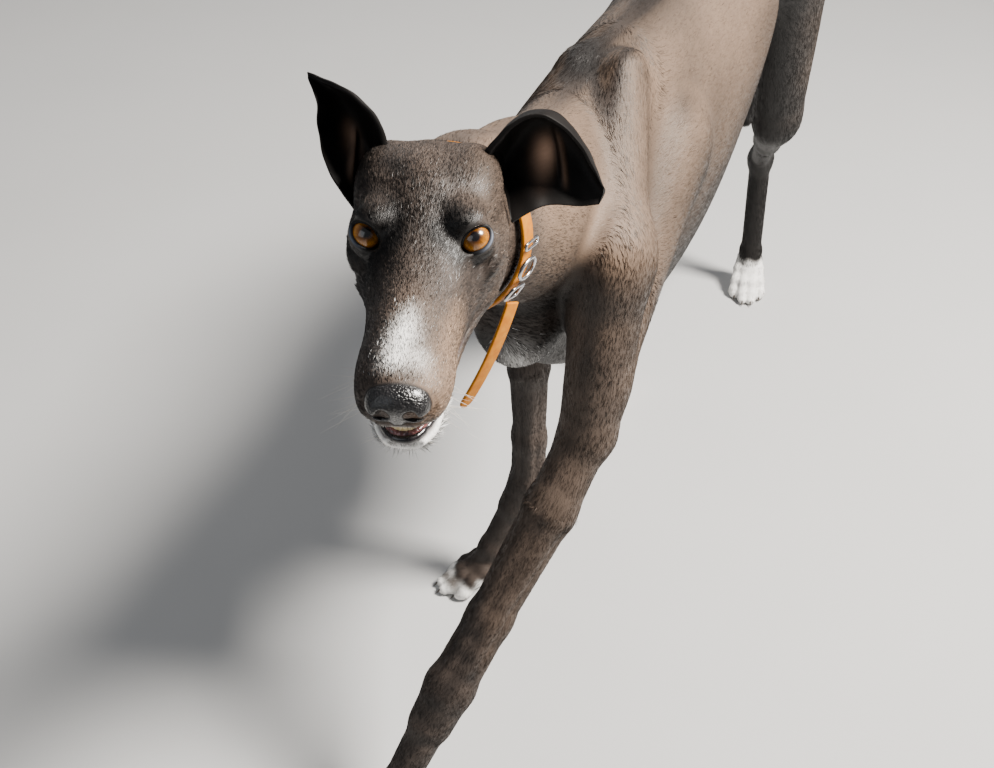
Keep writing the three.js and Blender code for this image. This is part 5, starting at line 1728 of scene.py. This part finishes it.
@dataclass
class Ear:
    """One ear: a thin cup between its nose-side and outer edges, thickest at the root."""

    side: Side
    wide: int = 44
    long: int = 60

    def middle(self, u: Array, v: Array) -> Array:
        """Quadratic across from edge to edge over the deep curve, each curve a spline from root to tip."""
        near, deep, far = (spline(c, v) for c in EAR_CURVES[self.side])
        pulled = deep + 0.8 * (deep - (near + far) / 2)
        u = u[..., None]
        return on_head((1 - u) ** 2 * near + 2 * u * (1 - u) * pulled + u**2 * far)

    def lobe(self, u: Array, v: Array, aside: float, width: float) -> Array:
        """Share of the fold that runs down inside the cup, or of a line beside it."""
        slope, start = (0.31, 0.49) if self.side is Side.LEFT else (-0.35, 0.22)
        line = slope * (u - 0.59) + start
        return hump(v - line - aside, width) * smooth(0.48, 0.62, u) * smooth(0.94, 0.84, u)

    def build(self, finish: Material) -> None:
        """Both faces lie half a thickness from the middle surface and meet in a rounded edge."""
        v = np.linspace(0, 0.992, self.long)
        u = (1 - np.cos(np.linspace(0, math.pi, self.wide))) / 2
        vv, uu = np.meshgrid(v, u, indexing="ij")
        middle = self.middle(uu, vv)
        du = self.middle(np.minimum(uu + 0.01, 1), vv) - self.middle(np.maximum(uu - 0.01, 0), vv)
        dv = self.middle(uu, np.minimum(vv + 0.01, 1)) - self.middle(uu, np.maximum(vv - 0.01, 0))
        normal = unit(np.cross(du, dv))
        if (normal @ AHEAD).mean() < 0:
            normal = -normal
        edge = np.sqrt(np.maximum(1 - np.abs(2 * uu - 1) ** 6, 0)) * np.sqrt(np.maximum(1 - vv**14, 0.02))
        half = (0.9 + 2.0 * (1 - vv) ** 3) * (0.25 + 0.75 * edge)
        ripple = 0.5 * wander(middle.reshape(-1, 3), 22, 5).reshape(half.shape)
        middle = middle + normal * ripple[..., None]
        fold = 3.2 * self.lobe(uu, vv, 0.0, 0.03) - 1.4 * self.lobe(uu, vv, -0.05, 0.03)
        hem = 1.6 * hump(uu - 0.02, 0.05) * smooth(0.97, 0.85, vv)
        inner = middle + normal * (half + fold + hem)[..., None]
        outer = middle - normal * half[..., None]
        rows = np.concatenate([inner, outer[:, ::-1]], 1)
        points, quads, ends = closed_tube(rows)
        made = piece(f"ear_{self.side.word}_skin", points, quads, ends)
        is_inner = np.concatenate([np.ones_like(half), np.zeros_like(half)], 1).ravel()
        share = np.concatenate([uu, uu[:, ::-1]], 1).ravel()
        place = np.concatenate([vv, vv], 1).ravel()
        across, along, strength = (0.72, 0.37, 1.0) if self.side is Side.LEFT else (0.66, 0.24, 0.35)
        tan = strength * is_inner * hump(share - across, 0.11) * hump(place - along, 0.10)
        # Pale line along the ridge of the inner fold, a painted highlight; the next line darkens the crease
        # beside the fold as painted shade.
        tan = np.maximum(tan, 0.22 * is_inner * self.lobe(share, place, 0.012, 0.028))
        tan = tan * (1 - 0.9 * self.lobe(share, place, -0.035, 0.028))
        tone = Markings.EAR * (1 + 0.25 * wander(rows.reshape(-1, 3), 25, 6))[:, None]
        tone = tone * (1 - tan[:, None]) + Markings.INNER_EAR * tan[:, None]
        tone = np.concatenate([tone, tone[:1], tone[-1:]])
        paint(made, "tone", tone)
        unwrap(made, "lie", LIE.flat(points, LIE.nearest(points))[loop_points(made)] * 0.01)
        finish_piece(made, finish, ("ear_" + self.side.word,))


@dataclass
class Collar:
    """Orange strap round the neck with its keeper, ring, buckle and free end."""

    nape: Field
    width: float = 15.0
    thick: float = 3.0
    clear: float = 2.2
    end_half: float = 6.4
    end_tip: Point = (47.0, -322.0, 532.0)

    def __post_init__(self) -> None:
        """Sets the directions up and to the dog's left across the collar's plane."""
        up = np.array([0, 0, 1.0])
        self.up = unit(up - (up @ COLLAR_NORMAL) * COLLAR_NORMAL)
        across = np.cross(COLLAR_NORMAL, self.up)
        self.aside = across * (1 if across[0] > 0 else -1)

    def place(self, degrees: Array, along: Array, out: Array) -> Array:
        """Points at a turn from the top towards the left, along the strap's width and out from the neck."""
        turn = np.radians(np.atleast_1d(np.asarray(degrees, float)))
        along, out = np.broadcast_to(along, turn.shape), np.broadcast_to(out, turn.shape)
        ray = np.cos(turn)[:, None] * self.up + np.sin(turn)[:, None] * self.aside
        past_top = (np.degrees(turn) + 180) % 360 - 180
        along = along + 21 * hump(past_top - 5, 55)
        out = out - 2.4 * hump(past_top - 5, 50)
        base = COLLAR_MIDDLE + along[:, None] * COLLAR_NORMAL
        length = reach_out(lambda p: self.nape(p) - 1.5, base, ray, 120.0)
        return base + ray * (length + out)[:, None]

    def seat(self, degrees: float, out: float) -> tuple[Array, Array]:
        """Middle of a place on the strap, and its round, along and outward directions."""
        at = self.place(degrees, 0, out)[0]
        round_ = unit(self.place(degrees + 4, 0, out)[0] - self.place(degrees - 4, 0, out)[0])
        slant = self.place(degrees, 7, out)[0] - self.place(degrees, -7, out)[0]
        along = unit(slant - (slant @ round_) * round_)
        outward = np.cross(round_, along)
        sign = np.sign(outward @ (at - COLLAR_MIDDLE))
        return at, np.stack([round_ * sign, along, outward * sign])

    def strap(self, finish: Material) -> None:
        """Rounded oblong section carried round the neck."""
        turn = np.linspace(0, 360, 220, endpoint=False)
        k = circle(20)
        along = self.width / 2 * squared(np.cos(k), 0.25)
        out = self.clear + self.thick / 2 * (1 + squared(np.sin(k), 0.45))
        tt = np.repeat(turn, len(k))
        points = self.place(tt, np.tile(along, len(turn)), np.tile(out, len(turn)))
        faces = grid_faces(len(turn) + 1, len(k)) % len(points)
        finish_piece(piece("collar_strap_band", points, faces), finish, ("collar_strap",))

    def wire(self, degrees: float, out: float, outline: Array, radius: float) -> tuple[Array, Array]:
        """Round wire along a closed outline, given in the round, along and out directions of its seat."""
        at, axes = self.seat(degrees, out)
        path = at + outline @ axes
        ahead = unit(np.roll(path, -1, 0) - np.roll(path, 1, 0))
        side = unit(np.cross(ahead, axes[2]))
        k = circle(14)
        points = swept(path, side, np.cross(side, ahead), k, radius).reshape(-1, 3)
        return points, grid_faces(len(path) + 1, len(k)) % len(points)

    def metalwork(self, finish: Material) -> None:
        """Keeper, ring and frame of the buckle, each one closed wire."""
        t = circle(64)
        none = np.zeros(64)
        oval = np.stack([np.cos(t), np.sin(t), none], 1)
        box = np.stack([squared(np.cos(t), 0.35), squared(np.sin(t), 0.35), none + 1], 1)
        top = self.clear + self.thick + 0.3
        parts = (
            ("collar_keeper", "_wire", 97, top + 0.8, box * [2.6, 9.2, 1.0], 1.1),
            ("collar_ring", "_wire", 115, top + 2.2, oval * [8.8, 11, 0], 1.45),
            ("collar_buckle", "_frame", 134, top + 1.2, box * [6.4, 9.4, 1.2], 1.3),
        )
        for node, ending, degrees, out, outline, radius in parts:
            made = piece(node + ending, *self.wire(degrees, out, outline, radius))
            finish_piece(made, finish, (node,))

    def free_end(self, finish: Material) -> None:
        """Strap end that hangs from the buckle on a quadratic curve, with a rounded tip."""
        start = self.seat(139, self.clear + self.thick + 0.3 + self.end_half)[0]
        tip = np.array(self.end_tip)
        middle = mix(start, tip, 0.45) + [7, -6, -2]
        t = np.linspace(0, 1, 90)[:, None]
        path = (1 - t) ** 2 * start + 2 * t * (1 - t) * middle + t**2 * tip
        ahead = unit(np.gradient(path, axis=0))
        out = np.array([1.0, -0.35, 0.0])
        out = unit(out - (ahead @ out)[:, None] * ahead)
        across = np.cross(ahead, out)
        round_tip = 1 - np.maximum((t[:, 0] - 0.91) / 0.0905, 0) ** 2
        half = self.end_half * np.sqrt(np.maximum(round_tip, 0.01))
        k = circle(20)
        wide = squared(np.cos(k), 0.25)
        deep = 1.35 * squared(np.sin(k), 0.45)
        rows = (
            path[:, None]
            + across[:, None] * (half[:, None] * wide[None])[..., None]
            + out[:, None] * deep[None, :, None]
        )
        finish_piece(piece("collar_strap_tail", *closed_tube(rows)), finish, ("collar_strap_end",))

    def build(self, strap: Material, metal: Material) -> None:
        """Makes the strap, its metalwork and its free end."""
        self.strap(strap)
        self.metalwork(metal)
        self.free_end(strap)


@dataclass(frozen=True)
class Pile:
    """How one skin's hair stands: tufts a square centimetre, and their length, width, lift and ridge."""

    per_cm2: float
    length: float
    width: float
    lift: float = 0.06
    ridge: float = 0.3


@dataclass
class Coat:
    """Short tufts over a skin, each a flat four-sided spike that lies back along the coat."""

    skin: Skin
    pile: Pile
    limit: int = 48000
    patch: float = 0.0015

    def roots(self, rng: np.random.Generator) -> tuple[Array, Array]:
        """Random places on the skin, spread by area, with the normals there."""
        quads = self.skin.faces
        tris = np.concatenate([quads[:, [0, 1, 2]], quads[:, [0, 2, 3]]])
        p = self.skin.points[tris]
        area = np.linalg.norm(np.cross(p[:, 1] - p[:, 0], p[:, 2] - p[:, 0]), axis=1) / 2
        count = int(area.sum() / 100 * self.pile.per_cm2)
        pick = rng.choice(len(tris), count, p=area / area.sum())
        share = rng.dirichlet((1, 1, 1), count)
        root = np.einsum("ij,ijk->ik", share, p[pick])
        normal = unit(np.einsum("ij,ijk->ik", share, self.skin.normals[tris[pick]]))
        keep = hair_grows(root)
        kept = rng.random(count) < keep
        return root[kept], normal[kept]

    def build(self, finish: Material) -> int:
        """Roots, then spikes: two base corners, a ridge point above them and a tip along the lie.

        Returns:
            The number of tufts.
        """
        rng = np.random.default_rng(SEED + len(self.skin.name))
        root, normal = self.roots(rng)
        n = len(root)
        lie = LIE.direction(root, normal)
        side = np.cross(normal, lie)
        swerve = rng.normal(0, 0.16, n)[:, None]
        lift = self.pile.lift * (1 + 5 * chin_share(root)) * rng.uniform(0.2, 1.8, n)
        lie = unit(lie + swerve * side + lift[:, None] * normal)
        side = np.cross(normal, lie)
        scale = hair_length(root)
        length = (self.pile.length * scale * rng.uniform(0.65, 1.3, n))[:, None]
        width = (self.pile.width * rng.uniform(0.7, 1.3, n))[:, None]
        tall = self.pile.ridge * rng.uniform(0.7, 1.3, n)[:, None]
        corners = np.stack([
            root - side * width / 2 - normal * 0.25,
            root + side * width / 2 - normal * 0.25,
            root + lie * length * 0.35 + normal * tall,
            root + lie * length - normal * 0.1 * tall,
        ], 1)
        roll = side * rng.normal(0, 0.30, n)[:, None]
        shown = unit(normal + roll + lie * rng.normal(0.05, 0.10, n)[:, None])
        tone = Markings.hair_tone(root, normal, rng)
        shade = np.array([0.7, 0.7, 1.0, 1.15])[None, :, None]
        colours = np.clip(tone[:, None] * shade, 0, 1)
        place = LIE.atlas(root)
        facets = np.array([[0, 2, 1], [0, 3, 2], [1, 2, 3], [0, 1, 3]])
        patch = np.array([[-1, -1], [1, -1], [0, 0.2], [0, 1]]) * self.patch
        for index, start in enumerate(range(0, n, self.limit)):
            part = slice(start, min(start + self.limit, n))
            m = part.stop - part.start
            faces = (np.arange(m)[:, None, None] * 4 + facets).reshape(-1, 3)
            name = f"coat_{self.skin.name}_{index}"
            made = piece(name, corners[part].reshape(-1, 3), faces, is_smooth=False)
            paint(made, "tone", colours[part].reshape(-1, 3))
            lay = made.data.attributes.new("lay", "FLOAT_VECTOR", "POINT").data
            lay.foreach_set("vector", np.repeat(shown[part], 4, 0).astype(np.float32).ravel())
            order = loop_points(made)
            unwrap(made, "OFBake", place[part][order // 4] + patch[order % 4])
            finish_piece(made, finish)
        return n


def hair_grows(points: Array) -> Array:
    """Chance of a tuft at a place: none on the nose, in the mouth, on the lids' edges or on the floor."""
    a, _, c = in_head(points).T
    chance = np.ones(len(points))
    near = a > 80
    chance[near] = smooth(0.1, 0.8, nose_solid(points[near]))
    top, bottom = profile(UPPER_LIP, a), profile(LOWER_LIP, a)
    inside = (a > 2) & (c < top + 0.8) & (c > bottom - 1.0 - 3.5 * smooth(60, 104, a))
    chance[inside] = 0
    for eye in EYES:
        q = (points - eye.centre) @ eye.lid_axes.T
        ring = np.hypot(q[:, 0] / (LID_HALF + 1.2), q[:, 1] / (LID_HIGH + 2.0))
        chance[(ring < 1) & (q[:, 2] > 0)] = 0
    chance[points[:, 2] < 3.0] = 0
    return chance


def chin_share(points: Array) -> Array:
    """Where the white fringe of the lower lip stands: 1 on the chin, 0 elsewhere."""
    a, _, c = in_head(points).T
    return smooth(60, 90, a) * smooth(-66, -71, c)


def hair_length(points: Array) -> Array:
    """Length of the hair against its pile's own: shorter on muzzle and toes, longer on chin and thighs."""
    ahead = in_head(points)[:, 0]
    scale = 1 - 0.35 * smooth(20, 110, ahead) + 1.1 * chin_share(points)
    scale *= 1 - 0.3 * smooth(80, 20, points[:, 2])
    scale *= 1 + 0.25 * smooth(420, 560, points[:, 1])
    return scale


@dataclass(frozen=True)
class Lamp:
    """An area lamp at a place in the dog's frame, with its width in metres and its power in watts."""

    name: str
    place: Point
    size: float
    power: float
    colour: Point

    def build(self, aim: Point) -> None:
        """Makes the lamp and turns it towards a point in the dog's frame."""
        data = bpy.data.lights.new(self.name, "AREA")
        data.size = self.size
        data.energy = self.power
        data.color = self.colour
        place_object(bpy.data.objects.new(self.name, data), self.place, np.subtract(aim, self.place))


def place_object(made: Object, place: Point, direction: Point) -> None:
    """Puts a lamp or camera at a place in the dog's frame, looking along a direction."""
    made.location = (np.asarray(place, float) + PART_SHIFT) / 1000
    made.rotation_mode = "QUATERNION"
    made.rotation_quaternion = Vector(direction).to_track_quat("-Z", "Y")
    bpy.context.scene.collection.objects.link(made)


@dataclass
class Studio:
    """Plain pale floor, soft lights and the camera."""

    floor_half: float = 9000.0
    floor_tone: float = 0.50
    sky_tone: Point = (0.80, 0.84, 0.90)
    sky_power: float = 0.20
    aim: Point = (40, -200, 500)
    lamps: tuple[Lamp, ...] = (
        Lamp("key", (1560, 520, 2500), 0.7, 330.0, (1.0, 0.95, 0.88)),
        Lamp("front", (-700, -2300, 1700), 1.8, 10.0, (0.92, 0.96, 1.0)),
        Lamp("rim", (-1500, 1500, 1900), 1.6, 16.0, (1.0, 0.98, 0.95)),
    )
    lens: float = 50.0
    sensor: float = 36.0
    azimuth: float = math.radians(26)
    elevation: float = math.radians(38)
    camera_place: Point = (438.58, -1063.99, 1210.18)

    def floor(self) -> None:
        """A wide level sheet with a faint mottle."""
        corners = np.array([[-1, -1, 0], [1, -1, 0], [1, 1, 0], [-1, 1, 0]]) * self.floor_half
        made = piece("studio_floor", corners - PART_SHIFT, np.array([[0, 1, 2, 3]]), is_smooth=False)
        tone = self.floor_tone
        finish = PlainFinish(
            "pale_floor", (tone,) * 3, (tone * 0.97,) * 3, (0.75, 0.85), scale=3.0, bump=0.02
        )
        made.data.materials.append(finish.make())

    def camera(self) -> None:
        """Seen from 26 degrees to the dog's left and 38 degrees above, 900 mm before its eyes."""
        data = bpy.data.cameras.new("camera")
        data.lens = self.lens
        data.sensor_width = self.sensor
        camera = bpy.data.objects.new("camera", data)
        level = math.cos(self.elevation)
        back = np.array([
            math.sin(self.azimuth) * level, -math.cos(self.azimuth) * level, math.sin(self.elevation)
        ])
        place_object(camera, self.camera_place, -back)
        bpy.context.scene.camera = camera

    def build(self) -> None:
        """Floor, three lamps, an even sky and the camera."""
        self.floor()
        for lamp in self.lamps:
            lamp.build(self.aim)
        world = bpy.data.worlds.new("studio")
        world.use_nodes = True
        sky = world.node_tree.nodes["Background"].inputs
        sky[0].default_value = (*self.sky_tone, 1)
        sky[1].default_value = self.sky_power
        bpy.context.scene.world = world
        self.camera()


# Sinew lines of a lower leg: turn round the bone, how far the line winds, and depth.
SINEWS = ((0.5, 0.5, 1.5), (1.5, 0.35, 1.1), (2.6, -0.4, 1.4), (-0.5, 0.3, 1.2), (-1.9, 0.2, 1.3))


def sinews(points: Array, leg: Leg) -> Array:
    """Grooves between the long muscles and sinews: lines along the limb, each a bell curve round it."""
    top, bottom = (np.asarray(end, float) for end in leg.bone)
    axis = unit(bottom - top)
    first = unit(np.cross(axis, [0, 1.0, 0.0]))
    second = np.cross(axis, first)
    q = points - top
    share = (q @ axis) / np.linalg.norm(bottom - top)
    turn = np.arctan2(q @ second, q @ first)
    fade = smooth(1.08, 0.8, share) if leg.KIND == "fore" else 0.6 * smooth(0.8, 0.6, share)
    depth = 0.0
    for middle, bend, deep in SINEWS:
        away = (turn - middle - bend * (share - 0.5) + math.pi) % (2 * math.pi) - math.pi
        depth = depth + deep * hump(away, 0.17) - 0.5 * deep * hump(away - 0.42, 0.22)
    return depth * (smooth(0.12, 0.32, share) * fade)


def leg_field(leg: Leg, limb: Flesh) -> Field:
    """The leg below its seam, grooved by its sinews and cut level just above the floor."""
    seam = LEG_SEAMS[leg.nodes[-1]]

    def distance(points: Array) -> Array:
        """Limb with its grooves, sunk past the seam by the squared distance and ended there."""
        value = np.maximum(limb.distance(points) + sinews(points, leg), 0.15 - points[:, 2])
        past = -((points - np.asarray(seam.at)) @ np.asarray(seam.normal))
        return np.maximum(value + SEAM_SINK * np.maximum(past, 0) ** 2, past - SEAM_DEPTH)

    return distance


def build_skins(anatomy: Anatomy, grain: Tree) -> list[Skin]:
    """Body, head, tail and the four lower legs with their paws."""
    tail = Flesh(tuple(tail_layers()))

    def body(points: Array) -> Array:
        """Whole form, ended at every seam."""
        value = anatomy.body.distance(points)
        for seam in (COLLAR_SEAM, TAIL_SEAM, *LEG_SEAMS.values()):
            value = seam.cut(value, points)
        return value

    def whip(points: Array) -> Array:
        """Tail past its seam."""
        return TAIL_SEAM.cut(tail.distance(points), points, -1.0)

    nets = {
        "body_skin": Net(body, (-150, -335, 190), (160, 740, 745), 3.6),
        "head_skin": Net(head_field(anatomy), (-70, -550, 590), (150, -255, 800), 1.5),
        "tail_skin": Net(whip, (-75, 630, 215), (20, 822, 525), 1.7),
    }
    nodes = {
        "body_skin": ("torso", "neck", "thigh_left", "thigh_right"),
        "head_skin": ("head", "lower_jaw"),
        "tail_skin": ("tail_upper", "tail_tip"),
    }
    skins = [Skin(name, net, "coat", nodes[name]) for name, net in nets.items()]
    for leg in LEGS:
        name = leg.nodes[-1]
        limb = Flesh(tuple([*leg.layers(), *paw_layers(leg)]))
        joints = np.array([LEG_SEAMS[name].at, leg.bone[1], leg.knuckle, leg.toe], float)
        low, high = joints.min(0) - [48, 48, 0], joints.max(0) + [48, 48, 22]
        net = Net(leg_field(leg, limb), (*low[:2], -4.0), tuple(high), 2.0)
        skins.append(Skin(name + "_skin", net, "paw_coat", leg.nodes))
    finish = HairFinish("coat_on_skin").make(grain)
    for skin in skins:
        skin.build(finish)
    return skins


PLAIN_FINISHES = (
    PlainFinish("claw_horn", (0.020, 0.016, 0.013), (0.07, 0.055, 0.045), (0.28, 0.45), scale=150.0),
    PlainFinish(
        "nose_leather", (0.0035, 0.0032, 0.0036), (0.010, 0.009, 0.0095), (0.30, 0.42),
        coat=0.3, scale=90.0, bump=0.8, pebbles=800.0,
    ),
    PlainFinish("gum", (0.30, 0.11, 0.10), (0.06, 0.025, 0.03), (0.2, 0.3), coat=0.6, scale=300.0),
    PlainFinish("enamel", (0.88, 0.78, 0.52), (0.74, 0.55, 0.27), (0.2, 0.35), coat=0.5, scale=400.0),
    PlainFinish(
        "wet_lip", (0.006, 0.005, 0.006), (0.016, 0.012, 0.014), (0.22, 0.34), coat=0.5, scale=260.0
    ),
    PlainFinish("whisker", (0.70, 0.67, 0.62), (0.45, 0.42, 0.38), (0.4, 0.5), scale=60.0),
    PlainFinish(
        "orange_strap", (0.50, 0.185, 0.0), (0.42, 0.130, 0.0), (0.45, 0.6), scale=160.0, gloss=0.2
    ),
    PlainFinish(
        "worn_steel", (0.62, 0.62, 0.64), (0.45, 0.45, 0.47), (0.16, 0.34), metallic=1.0, scale=400.0
    ),
)
LEG_PILE = Pile(35, 4.8, 0.47, 0.04, 0.18)
PILES = {
    "head_skin": Pile(100, 4.2, 0.34, 0.08, 0.18),
    "body_skin": Pile(19.5, 7.0, 0.66, 0.03, 0.18),
    "tail_skin": Pile(38, 7.0, 0.5, 0.05, 0.2),
}


def build_coat(skins: Sequence[Skin], grain: Tree) -> None:
    """Tufts on every skin, glossier on the head."""
    tufts = HairFinish("coat_tufts", is_tuft=True, gloss=0.4, roughness=0.4).make(grain)
    flat_tufts = HairFinish("coat_tufts_body", is_tuft=True, gloss=0.22).make(grain)
    for skin in skins:
        finish = tufts if skin.name == "head_skin" else flat_tufts
        count = Coat(skin, PILES.get(skin.name, LEG_PILE)).build(finish)
        log.info("coat on %s: %d tufts", skin.name, count)


def main() -> None:
    """Builds the dog piece by piece, then the studio."""
    anatomy = Anatomy()
    grain = hair_grain()
    skins = build_skins(anatomy, grain)
    plain = {finish.name: finish.make() for finish in PLAIN_FINISHES}
    iris = eye_finish()
    lid_hair = HairFinish("lid_hair", streaks=500.0, bump=0.2).make(grain)
    for eye in EYES:
        Eyeball(eye).build(iris)
        Lids(eye, anatomy.nape.distance).build(lid_hair)
    Claws().build(plain["claw_horn"])
    Nose().build(plain["nose_leather"])
    Mouth().build(plain["gum"], plain["enamel"], plain["wet_lip"])
    Whiskers().build(plain["whisker"])
    ear_finish = HairFinish("ear_hair", streaks=300.0, contrast=0.3, bump=0.1, sheen=0.0, gloss=0.12)
    ear_hair = ear_finish.make(grain)
    for side in Side:
        Ear(side).build(ear_hair)
    Collar(anatomy.nape.distance).build(plain["orange_strap"], plain["worn_steel"])
    build_coat(skins, grain)
    Studio().build()


if __name__ == "__main__":
    logging.basicConfig(level=logging.INFO, format="%(asctime)s %(message)s")
    main()
